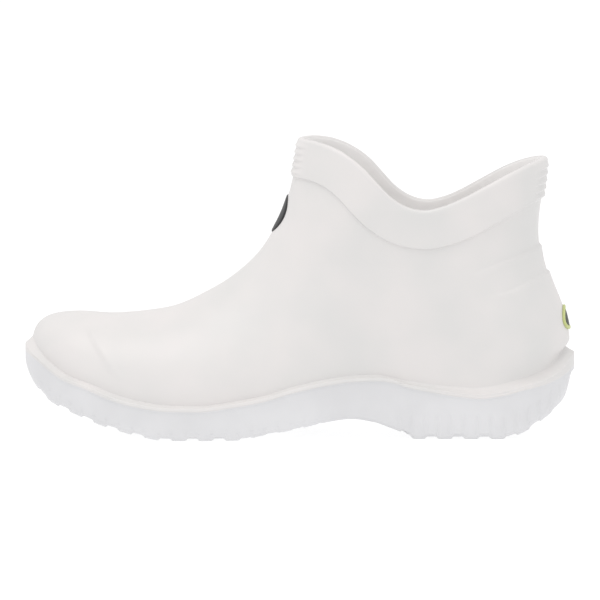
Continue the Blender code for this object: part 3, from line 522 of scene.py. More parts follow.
def between(line, low, high, part):
    """The point of a silhouette a share of the way along it from one height to another."""
    last = sample_at(line, high) if high < line[-1, 1] else len(line) - 1
    piece = line[sample_at(line, low) : last + 1, :2]
    run = run_of(piece)
    return np.array([np.interp(part * run[-1], run, column) for column in piece.T])


def side_line(level, share, edges):
    """One ring in the side view: a chord between the silhouettes, plus a mix of the sags of the edges round
    it."""
    lower, upper = edges[:2] if level < 1 else edges[1:]
    part = level if level < 1 else level - 1
    front = between(FRONT, lower[0, 1], upper[0, 1], part)
    back = between(BACK, lower[-1, 1], upper[-1, 1], part)
    sag_lower = lower - (lower[0] + share[:, None] * (lower[-1] - lower[0]))
    sag_upper = upper - (upper[0] + share[:, None] * (upper[-1] - upper[0]))
    return front + share[:, None] * (back - front) + (1 - part) * sag_lower + part * sag_upper


def last_rings(levels, half_count):
    """Closed rings round the last, one a level: 0 is the bottom edge, 1 the cuff's edge and 2 the rim."""
    share = crowded(half_count + 1)
    edges = (foot_line(share), cuff_line(share), rim_line(share))
    lines = np.stack([side_line(level, share, edges) for level in levels])
    back, up = lines[..., 0], lines[..., 1]
    shares = last_shares(back, up)
    middle = ridge(back)
    halves = []
    for side in (1, -1):
        across = middle + side * last_half(back, up, side, shares)
        across[:, [0, -1]] = middle[:, [0, -1]]
        halves.append(np.stack((across, back, up), axis=-1))
    return loop_of(halves)


def normals_of(rings):
    """Outward unit normals: the ring's direction crossed with the direction from ring to ring."""
    around = np.roll(rings, -1, axis=1) - np.roll(rings, 1, axis=1)
    return unit(np.cross(around, np.gradient(rings, axis=0)))


# Turning grids into objects

MERGE_DISTANCE = 0.00001


def world(points):
    """From across, back and up to the scene's X, Y and Z."""
    return np.stack((points[..., 0], points[..., 1] + TIP_Y, points[..., 2]), axis=-1)


def grid_faces(rows, columns, wrap_rows=False, wrap_columns=False):
    """The four corners of each cell of a grid of points, numbered row by row."""
    down, along = np.arange(rows - (not wrap_rows)), np.arange(columns - (not wrap_columns))
    i, j = (places.ravel() for places in np.meshgrid(down, along, indexing="ij"))
    below, beside = (i + 1) % rows, (j + 1) % columns
    corners = (i * columns + j, i * columns + beside, below * columns + beside, below * columns + j)
    return np.column_stack(corners)


def make_piece(name, parts, material, node, marks=None):
    """A smooth mesh object from (points, faces) parts, its doubles merged and its faces turned outwards.

    `marks` holds named values from 0 to 1, one for each point, that the material reads.
    """
    verts = np.concatenate([world(points).reshape(-1, 3) for points, faces in parts])
    offsets = np.cumsum([0] + [points.reshape(-1, 3).shape[0] for points, faces in parts[:-1]])
    faces = np.concatenate([faces + offset for (points, faces), offset in zip(parts, offsets)])
    mesh = bpy.data.meshes.new(name)
    mesh.from_pydata(verts.tolist(), [], faces.tolist())
    for mark, values in (marks or {}).items():
        mesh.attributes.new(mark, "FLOAT", "POINT").data.foreach_set("value", values.astype(np.float32))
    shape = bmesh.new()
    shape.from_mesh(mesh)
    bmesh.ops.remove_doubles(shape, verts=shape.verts, dist=MERGE_DISTANCE)
    bmesh.ops.dissolve_degenerate(shape, edges=shape.edges, dist=MERGE_DISTANCE / 2)
    bmesh.ops.recalc_face_normals(shape, faces=shape.faces)
    shape.to_mesh(mesh)
    shape.free()
    mesh.shade_smooth()
    mesh.materials.append(material)
    obj = bpy.data.objects.new(name, mesh)
    bpy.context.scene.collection.objects.link(obj)
    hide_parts(node)
    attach(obj, "root")
    return obj


# Materials

UPPER_DARK = "#D9D8D7"
UPPER_LIGHT = "#DFDCDB"

# Widths of the patterns' blobs in metres, and their detail. A mould's own grain on rubber is about 0.3 mm, too
# fine to show at 0.55 mm a pixel, so the grains are drawn two to four times as coarse. The knit has its real
# spacing.
UPPER_PATTERNS = {"cloud": (0.045, 2.0), "gloss": (0.012, 3.0), "wave": (0.016, 2.0), "grain": (0.0011, 2.0)}
SOLE_PATTERNS = {"cloud": (0.030, 2.0), "gloss": (0.008, 3.0), "grain": (0.0009, 2.0)}
BADGE_PATTERNS = {"mottle": (0.003, 3.0), "grain": (0.0006, 2.0)}
NOISE_ROUGHNESS = 0.55
KNIT_WALE = 0.0012
KNIT_COURSE = 0.0009
WAVE_PERIOD = 0.31

# What a pattern's values are mapped from and to.
CLOUD_RANGE = {"From Min": 0.35, "From Max": 0.65, "To Min": 0.0, "To Max": 1.0}
UPPER_GLOSS_RANGE = {"From Min": 0.3, "From Max": 0.7, "To Min": 0.38, "To Max": 0.48}
SOLE_GLOSS_RANGE = {"From Min": 0.3, "From Max": 0.7, "To Min": 0.44, "To Max": 0.56}

# Sockets of a colour mix: its factor, its two colours and its result.
FACTOR, FIRST, SECOND, MIXED = 0, 6, 7, 2


def linear(hex_colour):
    """An sRGB hex colour as linear red, green, blue and alpha."""
    channels = [int(hex_colour[i : i + 2], 16) / 255 for i in (1, 3, 5)]
    return tuple(c / 12.92 if c <= 0.04045 else ((c + 0.055) / 1.055) ** 2.4 for c in channels) + (1.0,)


def tones(dark, light):
    """The settings of a colour mix between two hex colours."""
    return {"data_type": "RGBA", FIRST: linear(dark), SECOND: linear(light)}


def add(tree, kind, output, settings=None, links=None):
    """Adds a node, sets its properties and sockets, links its sockets to other nodes' outputs, and gives one
    of its own."""
    node = tree.nodes.new(kind)
    for name, value in (settings or {}).items():
        if isinstance(name, int) or name in node.inputs:
            node.inputs[name].default_value = value
        else:
            setattr(node, name, value)
    for name, source in (links or {}).items():
        tree.links.new(source, node.inputs[name])
    return node.outputs[output]


def new_material(name, roughness, settings, patterns=None):
    """A material with one Principled surface, and noise patterns by name, each with the width of its blobs in
    metres and its detail: the material, its tree, the surface, and the patterns with object coordinates."""
    material = bpy.data.materials.new(name)
    material.use_nodes = True
    tree = material.node_tree
    surface = tree.nodes["Principled BSDF"]
    surface.inputs["Roughness"].default_value = roughness
    for socket, value in settings.items():
        surface.inputs[socket].default_value = value
    noise = {"place": add(tree, "ShaderNodeTexCoord", "Object")}
    for label, (grain, detail) in (patterns or {}).items():
        settings = {"Scale": 1 / grain, "Detail": detail, "Roughness": NOISE_ROUGHNESS}
        noise[label] = add(tree, "ShaderNodeTexNoise", "Fac", settings, {"Vector": noise["place"]})
    return material, tree, surface, noise


def connect(tree, surface, outputs):
    """Links nodes' outputs to the surface's sockets by name."""
    for socket, output in outputs.items():
        tree.links.new(output, surface.inputs[socket])


def moulded_foam_rubber():
    """The upper: foam rubber moulded by injection. It looks satin white, with broad soft highlights, a faint
    eggshell grain from its mould and a slight cloud in its colour. Its inside is painted paler: painted light
    that offsets the shade deep in the shaft."""
    settings = {"IOR": 1.5, "Specular IOR Level": 0.42}
    material, tree, surface, noise = new_material("moulded_foam_rubber", 0.42, settings, UPPER_PATTERNS)
    cloud = add(tree, "ShaderNodeMapRange", "Result", CLOUD_RANGE, {"Value": noise["cloud"]})
    outside = add(tree, "ShaderNodeMix", MIXED, tones(UPPER_DARK, UPPER_LIGHT), {FACTOR: cloud})
    inside = add(tree, "ShaderNodeAttribute", "Fac", {"attribute_name": "inside"})
    # The inner rows' colour is painted paler: painted light against the shade inside the shaft.
    inside_painted_light = {"data_type": "RGBA", SECOND: linear("#F6F4F3")}
    fine = {"Distance": 0.00006, "Strength": 0.35}
    grain = add(tree, "ShaderNodeBump", "Normal", fine, {"Height": noise["grain"]})
    broad = {"Distance": 0.0004, "Strength": 0.12}
    outputs = {
        "Base Color": add(tree, "ShaderNodeMix", MIXED, inside_painted_light, {FACTOR: inside, FIRST: outside}),
        "Roughness": add(tree, "ShaderNodeMapRange", "Result", UPPER_GLOSS_RANGE, {"Value": noise["gloss"]}),
        "Normal": add(tree, "ShaderNodeBump", "Normal", broad, {"Height": noise["wave"], "Normal": grain}),
    }
    connect(tree, surface, outputs)
    return material


def moulded_sole_rubber():
    """The outsole: rubber moulded under pressure. It looks cooler and duller than the upper, but its bead has
    the upper's colour."""
    settings = {"IOR": 1.52, "Specular IOR Level": 0.4}
    material, tree, surface, noise = new_material("moulded_sole_rubber", 0.5, settings, SOLE_PATTERNS)
    cloud = add(tree, "ShaderNodeMapRange", "Result", CLOUD_RANGE, {"Value": noise["cloud"]})
    band = add(tree, "ShaderNodeMix", MIXED, tones("#D7D7D9", "#DCDCDE"), {FACTOR: cloud})
    bead = add(tree, "ShaderNodeMix", MIXED, tones(UPPER_DARK, UPPER_LIGHT), {FACTOR: cloud})
    on_bead = add(tree, "ShaderNodeAttribute", "Fac", {"attribute_name": "bead"})
    links = {FACTOR: on_bead, FIRST: band, SECOND: bead}
    fine = {"Distance": 0.00008, "Strength": 0.3}
    outputs = {
        "Base Color": add(tree, "ShaderNodeMix", MIXED, {"data_type": "RGBA"}, links),
        "Roughness": add(tree, "ShaderNodeMapRange", "Result", SOLE_GLOSS_RANGE, {"Value": noise["gloss"]}),
        "Normal": add(tree, "ShaderNodeBump", "Normal", fine, {"Height": noise["grain"]}),
    }
    connect(tree, surface, outputs)
    return material


def knitted_footbed():
    """The footbed's top: a light grey polyester knit bonded to foam. It looks soft and dull, with fine rows of
    loops that cross. Each is the bands of a wave, which are WAVE_PERIOD long at scale 1."""
    settings = {"IOR": 1.45, "Sheen Weight": 0.25, "Sheen Roughness": 0.5}
    material, tree, surface, noise = new_material("knitted_footbed", 0.85, settings)
    rows = {}
    for socket, (direction, spacing, unevenness) in enumerate((("X", KNIT_WALE, 2.0), ("Y", KNIT_COURSE, 1.0))):
        settings = {"wave_type": "BANDS", "bands_direction": direction, "Scale": WAVE_PERIOD / spacing}
        settings.update({"Distortion": unevenness, "Detail": unevenness})
        rows[socket] = add(tree, "ShaderNodeTexWave", "Fac", settings, {"Vector": noise["place"]})
    knit = add(tree, "ShaderNodeMath", "Value", {"operation": "MULTIPLY"}, rows)
    colour = add(tree, "ShaderNodeMix", MIXED, tones("#A7A5A2", "#C6C4C1"), {FACTOR: knit})
    loops = add(tree, "ShaderNodeBump", "Normal", {"Distance": 0.0003, "Strength": 0.6}, {"Height": knit})
    connect(tree, surface, {"Base Color": colour, "Normal": loops})
    return material


def printed_rubber(name, dark, light, roughness):
    """A badge's rubber, printed in one colour, which looks flat, with a faint mottle and a fine grain."""
    material, tree, surface, noise = new_material(name, roughness, {"IOR": 1.5}, BADGE_PATTERNS)
    colour = add(tree, "ShaderNodeMix", MIXED, tones(dark, light), {FACTOR: noise["mottle"]})
    fine = {"Distance": 0.00005, "Strength": 0.4}
    grain = add(tree, "ShaderNodeBump", "Normal", fine, {"Height": noise["grain"]})
    connect(tree, surface, {"Base Color": colour, "Normal": grain})
    return material


# The upper

LOOP_HALF = 158
FAR_RIM_ROWS = table(
    # share of the sole's length, how far the collar's inner side stands over its outer one
    (0.54, 0.0000),
    (0.58, 0.0004),
    (0.63, 0.0013),
    (0.68, 0.0006),
    (0.73, 0.0000),
    (0.77, 0.0000),
    (0.82, 0.0006),
    (0.87, 0.0011),
    (0.92, 0.0005),
    (0.95, 0.0000),
)
INNER_SIDE_WIDTH = 0.02
FAR_RIM_LEVELS = (0.8, 2.0)

# Rows of rings. Levels are 0 at the bottom edge, 1 at the cuff's edge and 2 at the rim.
BODY_ROWS = 150
BODY_CROWDING = 1.25
BODY_END = 0.985
EDGE_LEVELS = 1 + np.array([-0.010, -0.006, -0.003, -0.0015, 0.0, 0.006, 0.012, 0.018, 0.026, 0.038])
CUFF_ROWS = 56
RIB_LEVELS = (1.06, 1.905)
LIP_ROWS = 11
CLIMB_ROWS = 5
INNER_ROWS = 60
INNER_START = 8

# The cuff's edge is softer at the back. A grip rib's tooth has a soft foot and soft ends beside the ridge.
CUFF_EDGE_SOFTER = 3
CUFF_EDGE_ALONG = (0.80, 0.92)
RIB_FOOT = 0.4
RIB_PEAK = 1.3
RIB_ENDS = (0.75, 1.35)
LAST_TURN = 0.9999

# The heel's steps fade over a shorter rise at the very back, and the toe's ridge over this many of its edges.
BACK_ALONG = (0.955, 0.998)
TOE_RIDGE_EDGES = 7
LINE_STEP = 0.001


def upper_levels():
    """Ring levels, closer together round the toe, across the cuff's edge and over its grip ribs."""
    body = np.linspace(0, 1, BODY_ROWS) ** BODY_CROWDING
    cuff = np.linspace(RIB_LEVELS[0], RIB_LEVELS[1], CUFF_ROWS)
    return np.concatenate((body[body < BODY_END], EDGE_LEVELS, cuff, [2.0]))


def off_line(knots, values, along, place):
    """The distance off a line in the side view, square to it, on the side to which `place` grows."""
    level = eased(knots, values, along)
    slope = (eased(knots, values, along + LINE_STEP) - level) / LINE_STEP
    return (place - level) / np.hypot(1, slope)


def over_line(line, back, up):
    """The distance above a step's line."""
    at = line * np.array([SOLE_LENGTH, VAMP_HEIGHT])
    return off_line(at[:, 0], at[:, 1], back, up)


def behind_line(line, back, up):
    """The distance behind a steep line."""
    at = line[::-1] * np.array([SOLE_LENGTH, VAMP_HEIGHT])
    return off_line(at[:, 1], at[:, 0], up, back)


def upper_relief(rings, levels):
    """How far the moulding stands out from the last: the cuff, its ribs, the toe's step and the heel's two.

    Each step is a soft rise across its line. Behind the toe's line a low ridge stands on the step and fades.
    """
    across, back, up = rings[..., 0], rings[..., 1], rings[..., 2]
    edge = CUFF_EDGE * (1 + CUFF_EDGE_SOFTER * soft(back / SOLE_LENGTH, *CUFF_EDGE_ALONG))
    relief = CUFF_STEP * soft((levels[:, None] - 1) * CUFF_HEIGHT, 0.0, edge)
    turn = np.clip((levels - RIB_LEVELS[0]) / (RIB_LEVELS[1] - RIB_LEVELS[0]), 0, LAST_TURN) * RIB_COUNT
    tooth = (1 - turn % 1.0) * soft(turn % 1.0, 0.0, RIB_FOOT) * RIB_PEAK
    near_ends = 1 - soft(np.abs(across - ridge(back)) / RIB_HALF_WIDTH, *RIB_ENDS)
    relief = relief + RIB_DEPTH * tooth[:, None] * near_ends
    beside = (back - NOSE_BACK) / (BACK[:, 0].max() - NOSE_BACK) * SOLE_LENGTH
    rise = SIDE_FADE_RISE + (FADE_RISE - SIDE_FADE_RISE) * soft(beside / SOLE_LENGTH, *BACK_ALONG)
    over_sole = soft((up - bead_inner(beside) - bead_fillet(beside)) / rise, 0.0, 1.0)
    behind = behind_line(TOE_LINE, back, up)
    toe = TOE_STEP * soft(back / SOLE_LENGTH, *TOE_FADE)
    toe = toe + TOE_RIDGE * (1 - soft(behind, TOE_EDGE, TOE_RIDGE_EDGES * TOE_EDGE))
    toe = toe * soft(behind, -TOE_EDGE, TOE_EDGE) * (1 - soft(up / VAMP_HEIGHT, *TOE_FADE_UP))
    relief = relief + toe * soft(up / VAMP_HEIGHT, *TOE_FADE_DOWN)
    for line, fade in ((HEEL_LINE_HIGH, HEEL_FADE_HIGH), (HEEL_LINE_LOW, HEEL_FADE_LOW)):
        below = soft(-over_line(line, back, up), -STEP_EDGE, STEP_EDGE)
        relief = relief + HEEL_STEP * below * soft(back / SOLE_LENGTH, *fade) * over_sole
    return relief


def make_upper(material):
    """Outer rings pushed out by the relief, a round lip over the rim, inner rings a wall's thickness in.

    The cuff's inner side is raised towards its rim by a table along the boot.
    """
    levels = upper_levels()
    base = last_rings(levels, LOOP_HALF)
    inner_side = soft(ridge(base[..., 1]) - base[..., 0], 0.0, INNER_SIDE_WIDTH)
    raised = along_sole(FAR_RIM_ROWS, base[..., 1])
    base[..., 2] += raised * inner_side * soft(levels, *FAR_RIM_LEVELS)[:, None]
    normal = normals_of(base)
    outer = (base + normal * upper_relief(base, levels)[..., None])[:-1]
    radius = (WALL + CUFF_STEP) / 2
    climb = unit(base[-1] - base[-1 - CLIMB_ROWS])
    centre = base[-1] + normal[-1] * (CUFF_STEP - radius) - climb * radius
    angles = np.linspace(0, math.pi, LIP_ROWS)[:, None, None]
    lip = centre + radius * (np.cos(angles) * normal[-1] + np.sin(angles) * climb)
    picked = np.linspace(0, len(outer) - INNER_START, INNER_ROWS).round().astype(int)
    inner = (base - normal * WALL)[picked][::-1]
    rows = np.concatenate((outer, lip, inner))
    faces = grid_faces(len(rows), rows.shape[1], wrap_rows=True, wrap_columns=True)
    # Marks the inner rows, which the material paints paler: painted light against the shade inside the shaft.
    inside = np.repeat(np.arange(len(rows)) >= len(outer) + LIP_ROWS - 2, rows.shape[1])
    make_piece("upper_moulding", [(rows, faces)], material, "upper", {"inside": inside})
    return outer


# The outsole

SOLE_HALF = 440
TREAD_COLUMNS = 40
PLAN_SAMPLES = 1200
LUG_SAMPLES = 1500
MEETING_SAMPLES = 900

# Two places in the lug pattern, and the stretch over which the pattern shifts to bring a gap there.
LUG_SHIFTS = (
    (FIRST_LUG * SOLE_LENGTH + 4 * LUG_PITCH, (0.20, 0.31)),
    (FIRST_LUG * SOLE_LENGTH + 13 * LUG_PITCH, (0.55, 0.66)),
)

# Stretches over which the gaps between lugs get deeper or shallower, and by what share of their depth.
GAP_STEPS = (
    (0.008, 0.020, 1.0),
    (0.380, 0.440, -0.6),
    (0.535, 0.550, -0.4),
    (0.675, 0.690, 1.0),
    (0.955, 0.975, -0.7),
    (0.985, 0.995, -0.3),
)
GAP_FLANKS = (0.17, 0.27)

# The upright grooves: two to a lug, in step with the lugs at the anchor, even along the outline at its ends.
GROOVES_PER_LUG = 2
GROOVE_PHASE = 0.5
GROOVE_ANCHOR = 0.8
GROOVE_FLANKS = (0.15, 0.75)
GROOVE_TOE_END = (0.06, 0.12)
GROOVE_HEEL_END = (0.93, 0.97)

# The channel down the middle of the tread, across and along, and the tread's rim that keeps its own height.
CHANNEL_HALF = (0.02, 0.04)
CHANNEL_START = (0.08, 0.12)
CHANNEL_END = (0.90, 0.94)
CHANNEL_DEPTH = 0.55
TREAD_RIM = (0.49, 0.5)

# The rings of the side: their numbers, and the rooms and fades that keep them in order.
EDGE_RINGS = 8
RIB_RINGS = 9
PLAIN_SHARES = (0.3, 0.6, 0.9)
FACE_SHARES = (0.33, 0.67)
BEAD_EDGE_RINGS = 6
HOLLOW_RINGS = 15
LIP_IN_BAND = 3
GAP_FADE = 0.999
RIB_START = 0.12
RIB_FADE = (0.70, 1.0)
RIBS_OVER_ROUND = 1.2
ROOM_OVER_ROUND = 0.3
ROOM_OVER_RIBS = 0.2
HOLLOW_BEND = 0.65
SQUARE_BEND_LOSS = 0.4
SQUARE_FILLET_LOSS = 0.6

# Insets, depths and roundings of the side, in metres.
EDGE_INSET = 0.0012
TUCK = 0.0012
FILLET_BITE = 0.00012
SIDE_GAP_DEPTH = 0.0014
BEAD_ROUND = 0.0008
BEAD_FILLET = 0.0012
BEAD_LIP = table(
    # up from the bead's lower edge, in from the outline as a share of the band's recess
    (-0.0008, 1.00),
    (-0.0004, 0.94),
    (-0.0001, 0.74),
    (0.0002, 0.40),
    (0.0004, 0.14),
    (0.0006, 0.02),
    (0.0008, 0.00),
    (0.0010, 0.08),
    (0.0012, 0.20),
    (0.0014, 0.32),
)
RECESS_ROWS = table(
    # share of the sole's length, how far the band lies in from the bead's lip
    (0.00, 0.00005),
    (0.02, 0.00015),
    (0.06, 0.00050),
    (0.12, 0.00085),
    (0.92, 0.00085),
    (0.97, 0.00040),
    (1.00, 0.00020),
)
SQUARE_ROWS = table(
    # share of the sole's length, how square the bead is
    (0.00, 1.00),
    (0.03, 0.80),
    (0.08, 0.25),
    (0.20, 0.00),
    (0.66, 0.00),
    (0.75, 0.30),
    (0.85, 0.55),
    (0.93, 0.70),
    (1.00, 1.00),
)
GROOVE_ROWS = table(
    # share of the sole's length, depth
    (0.00, 0.00020),
    (0.05, 0.00025),
    (0.12, 0.00030),
    (0.45, 0.00030),
    (0.54, 0.00012),
    (0.60, 0.00000),
    (0.64, 0.00000),
    (0.68, 0.00030),
    (0.75, 0.00048),
    (0.95, 0.00048),
    (1.00, 0.00035),
)


def sole_outline():
    """The plan outline as a loop, evenly spaced along each half, with its outward directions."""
    fine = crowded(PLAN_SAMPLES) * SOLE_LENGTH
    halves = []
    for side in (1, -1):
        line = np.column_stack((ridge(fine) + side * plan_half(fine, side), fine))
        run = run_of(line)
        at = np.linspace(0, run[-1], SOLE_HALF + 1)
        halves.append(np.column_stack((np.interp(at, run, line[:, 0]), np.interp(at, run, line[:, 1]))))
    loop = loop_of(halves)
    run = unit(np.roll(loop, -1, axis=0) - np.roll(loop, 1, axis=0))
    return loop, np.column_stack((run[:, 1], -run[:, 0]))


def halves_of(loop):
    """The outer and the inner half of the outline's loop, each from toe to heel with both ends."""
    return loop[: SOLE_HALF + 1], np.concatenate((loop[:1], loop[: SOLE_HALF - 1 : -1]))


def lug_turns(back):
    """Turns of the lug pattern: the length along the underside's own curve, with a gap at each whole turn.

    The turns are shifted a little under the ball and in the waist, where a gap has to fall on a whole turn.
    """
    fine = np.linspace(0, SOLE_LENGTH, LUG_SAMPLES)
    turns = run_of(np.column_stack((fine, sole_bottom(fine)))) / LUG_PITCH
    turns = turns - np.interp(FIRST_LUG * SOLE_LENGTH, fine, turns)
    for place, stretch in LUG_SHIFTS:
        there = np.interp(place, fine, turns)
        turns = turns + soft(fine / SOLE_LENGTH, *stretch) * (np.round(there) - there)
    return np.interp(back, fine, turns)


def lug_gap_share(back):
    """1 in the gaps between lugs and 0 on them, with slanted flanks, times the gaps' share of their depth."""
    turns = lug_turns(back)
    away = np.abs(turns - np.round(turns))
    depth = sum(change * soft(back / SOLE_LENGTH, start, end) for start, end, change in GAP_STEPS)
    return (1 - soft(away, *GAP_FLANKS)) * depth


def side_grooves(loop):
    """Upright grooves in the band: two to a lug along the sides, and as far apart round the outline's ends."""
    grooves = []
    for line in halves_of(loop):
        share = line[:, 1] / SOLE_LENGTH
        ends = (1 - soft(share, *GROOVE_TOE_END)) + soft(share, *GROOVE_HEEL_END)
        by_back = np.gradient(lug_turns(line[:, 1]))
        turns = np.cumsum(by_back + (np.gradient(run_of(line)) / LUG_PITCH - by_back) * ends)
        anchor = np.abs(share - GROOVE_ANCHOR).argmin()
        turns = GROOVES_PER_LUG * (turns - turns[anchor] + lug_turns(line[anchor, 1])) - GROOVE_PHASE
        away = np.abs(turns - np.round(turns)) * LUG_PITCH / GROOVES_PER_LUG / GROOVE_WIDTH
        grooves.append((along_sole(GROOVE_ROWS, line[:, 1]) * (1 - soft(away, *GROOVE_FLANKS)))[:, None])
    return loop_of(grooves)[:, 0]


def bead_on_upper(loop):
    """Where the bead's fillet meets the upper, point for point with the outline: across, back and up.

    It runs at the height of the bead's inner end plus the fillet, between the last's two ends at that height.
    """
    halves = []
    for side, own in zip((1, -1), halves_of(loop)):
        share = crowded(MEETING_SAMPLES)
        up = bead_inner(share * SOLE_LENGTH) + bead_fillet(share * SOLE_LENGTH)
        start = FRONT[sample_at(FRONT, up[0]), 0]
        end = np.interp(up[-1], BACK[:, 1], BACK[:, 0])
        back = start + share * (end - start)
        half = last_half(back[None], up[None], side, last_shares(back[None], up[None]))[0]
        line = np.column_stack((ridge(back) + side * half, back, up))
        run = run_of(line)
        at = run_of(own) / run_of(own)[-1] * run[-1]
        halves.append(np.column_stack([np.interp(at, run, column) for column in line.T]))
    line = loop_of(halves)
    away = unit(np.roll(line[:, :2], -1, axis=0) - np.roll(line[:, :2], 1, axis=0))
    return line, np.column_stack((-away[:, 1], away[:, 0], np.zeros(len(line))))


def make_outsole(material):
    """Rings from the tread's edge round the foot, up the ribbed band, over the bead's lip, face and rounded
    edge, and along a hollow curve that ends upright at the upper; then down inside to the plate.

    The hollow curve is a share of a sine, straight on, plus a share of one minus a cosine, which bends it up.
    """
    loop, out = sole_outline()
    back = loop[:, 1]
    ledge = sole_level("ledge", back)
    under_bead = ledge - sole_level("bead", back)
    foot = sole_level("round", back)
    recess = along_sole(RECESS_ROWS, back)
    groove = side_grooves(loop)
    ribs = np.maximum(sole_level("ribs", back), foot * RIBS_OVER_ROUND)

    def ring(inset, up):
        """The outline moved inwards, at its heights."""
        return np.column_stack((loop - out * (inset + np.zeros(len(loop)))[:, None], up))

    tread_edge = back - out[:, 1] * (foot + EDGE_INSET)
    rings = [ring(foot + EDGE_INSET, sole_bottom(tread_edge) + SIDE_GAP_DEPTH * lug_gap_share(tread_edge))]
    for angle in np.linspace(0, math.pi / 2, EDGE_RINGS):
        inset = recess + foot * (1 - math.sin(angle)) + groove
        place = back - out[:, 1] * inset
        gap = SIDE_GAP_DEPTH * lug_gap_share(place) * math.sqrt(1 - GAP_FADE * angle / (math.pi / 2))
        rise = foot * (1 - math.cos(angle)) + gap
        rings.append(ring(inset, np.minimum(sole_bottom(place) + rise, under_bead - foot * ROOM_OVER_ROUND)))
    rib_foot = rings[-1][:, 2]
    rib_top = np.minimum(sole_bottom(back - out[:, 1] * recess) + ribs, under_bead - foot * ROOM_OVER_RIBS)
    for share in np.linspace(RIB_START, 1, RIB_RINGS):
        fade = 1 - soft(share, *RIB_FADE)
        rings.append(ring(recess + groove * fade, rib_foot + (rib_top - rib_foot) * share))
    for share in PLAIN_SHARES:
        rings.append(ring(recess, rib_top + (under_bead + BEAD_LIP[0, 0] - rib_top) * share))
    band_rings = len(rings) + LIP_IN_BAND
    for rise, inset in BEAD_LIP:
        rings.append(ring(inset * recess, under_bead + rise))
    face_inset = BEAD_LIP[-1, 1] * recess
    face_foot = under_bead + BEAD_LIP[-1, 0]
    square = bead_square(back)
    face_top = face_foot + (ledge - BEAD_ROUND - face_foot) * square
    for share in FACE_SHARES:
        rings.append(ring(face_inset, face_foot + (face_top - face_foot) * share))
    meeting, inwards = bead_on_upper(loop)
    bend = HOLLOW_BEND - SQUARE_BEND_LOSS * square
    reach = np.linalg.norm(meeting[:, :2] - loop, axis=1)
    turn = math.pi / 2 - np.arctan2((meeting[:, 2] - face_top) * (1 - bend), reach)
    for share in np.linspace(0, 1, BEAD_EDGE_RINGS):
        inset = face_inset + BEAD_ROUND * (1 - np.cos(turn * share))
        rings.append(ring(inset, face_top + BEAD_ROUND * np.sin(turn * share)))
    crest = rings[-1]
    for angle in np.linspace(0, math.pi / 2, HOLLOW_RINGS)[1:]:
        flat = crest[:, :2] + (meeting[:, :2] + inwards[:, :2] * FILLET_BITE - crest[:, :2]) * math.sin(angle)
        climb = (1 - bend) * math.sin(angle) + bend * (1 - math.cos(angle))
        rings.append(np.column_stack((flat, crest[:, 2] + (meeting[:, 2] - crest[:, 2]) * climb)))
    tuck = meeting + inwards * TUCK
    rings.append(tuck)
    rings.append(np.column_stack((tuck[:, :2], sole_level("floor", tuck[:, 1]))))
    rows = np.stack(rings)
    side = (rows, grid_faces(len(rows), rows.shape[1], wrap_columns=True))
    across = [cross_grid(rows[0], tread_height), cross_grid(rows[-1], plate_height)]
    bead = np.repeat(np.arange(len(rows)) >= band_rings, rows.shape[1])
    bead = np.concatenate((bead, np.zeros(sum(points[..., 0].size for points, faces in across), bool)))
    make_piece("outsole_moulding", [side, *across], material, "outsole", {"bead": bead})


def cross_grid(ring, height):
    """Straight lines from each point of a ring's outer half to its partner, raised by a height function."""
    outer, inner = halves_of(ring)
    share = np.linspace(0, 1, TREAD_COLUMNS + 1)[None, :, None]
    points = outer[:, None] * (1 - share) + inner[:, None] * share
    points[..., 2] = height(points, share[..., 0])
    return points, grid_faces(points.shape[0], points.shape[1])


def tread_height(points, share):
    """The underside: lug bars parted by gaps and a narrow channel down the middle, its rim kept as it is."""
    back = points[..., 1]
    channel = (1 - soft(np.abs(share - 0.5), *CHANNEL_HALF)) * soft(back / SOLE_LENGTH, *CHANNEL_START)
    channel = channel * (1 - soft(back / SOLE_LENGTH, *CHANNEL_END))
    field = sole_bottom(back) + LUG_DEPTH * np.maximum(lug_gap_share(back), CHANNEL_DEPTH * channel)
    rim = soft(np.abs(share - 0.5), *TREAD_RIM)
    return field + (points[..., 2] - field) * rim


def plate_height(points, share):
    """The plate inside the cup, level with the upper's bottom edge."""
    return sole_level("floor", points[..., 1])


# The footbed

BED_ROWS = 120
BED_COLUMNS = 72
BED_NARROWING = 40
BED_THINNING = 60
BED_WIDE_POWER = 0.22
BED_TALL_POWER = 0.55
BED_EDGE_RISE = 0.0012
BED_EDGE_POWER = 7


def closed_ends(share, steepness):
    """1 along the middle, falling to 0 at both ends as a square root does."""
    return np.sqrt(np.clip(share * steepness, 0, 1) * np.clip((1 - share) * steepness, 0, 1))


def squared(values, power):
    """Values from -1 to 1 raised to a power below 1, their signs kept, which squares an oval's corners."""
    return np.sign(values) * np.abs(values) ** power


def make_footbed(material):
    """Squared oval sections along the plate, their edges turned up a little, closed to a line at the ends."""
    start = NOSE_BACK + WALL + CLEARANCE
    end = BACK[0, 0] - WALL - CLEARANCE
    share = crowded(BED_ROWS)
    back = start + share * (end - start)
    up = sole_level("floor", back) + CLEARANCE + INSOLE_THICKNESS / 2
    shares = last_shares(back[None, :], up[None, :])
    halves = {}
    for side in (1, -1):
        half = last_half(back[None, :], up[None, :], side, shares)[0] - WALL - CLEARANCE
        halves[side] = np.maximum(half, 0) * closed_ends(share, BED_NARROWING)
    angle = np.linspace(0, 2 * math.pi, BED_COLUMNS, endpoint=False)
    wide = squared(np.cos(angle), BED_WIDE_POWER)[None, :]
    tall = squared(np.sin(angle), BED_TALL_POWER)[None, :]
    half = np.where(wide > 0, halves[1][:, None], halves[-1][:, None])
    across = ridge(back)[:, None] + half * wide
    turned = BED_EDGE_RISE * np.abs(wide) ** BED_EDGE_POWER * np.clip(tall, 0, 1)
    height = up[:, None] + closed_ends(share, BED_THINNING)[:, None] * (INSOLE_THICKNESS / 2 * tall + turned)
    rows = np.stack((across, np.broadcast_to(back[:, None], across.shape), height), axis=-1)
    faces = grid_faces(BED_ROWS, BED_COLUMNS, wrap_columns=True)
    make_piece("footbed", [(rows, faces)], material, "insole")


# The two badges

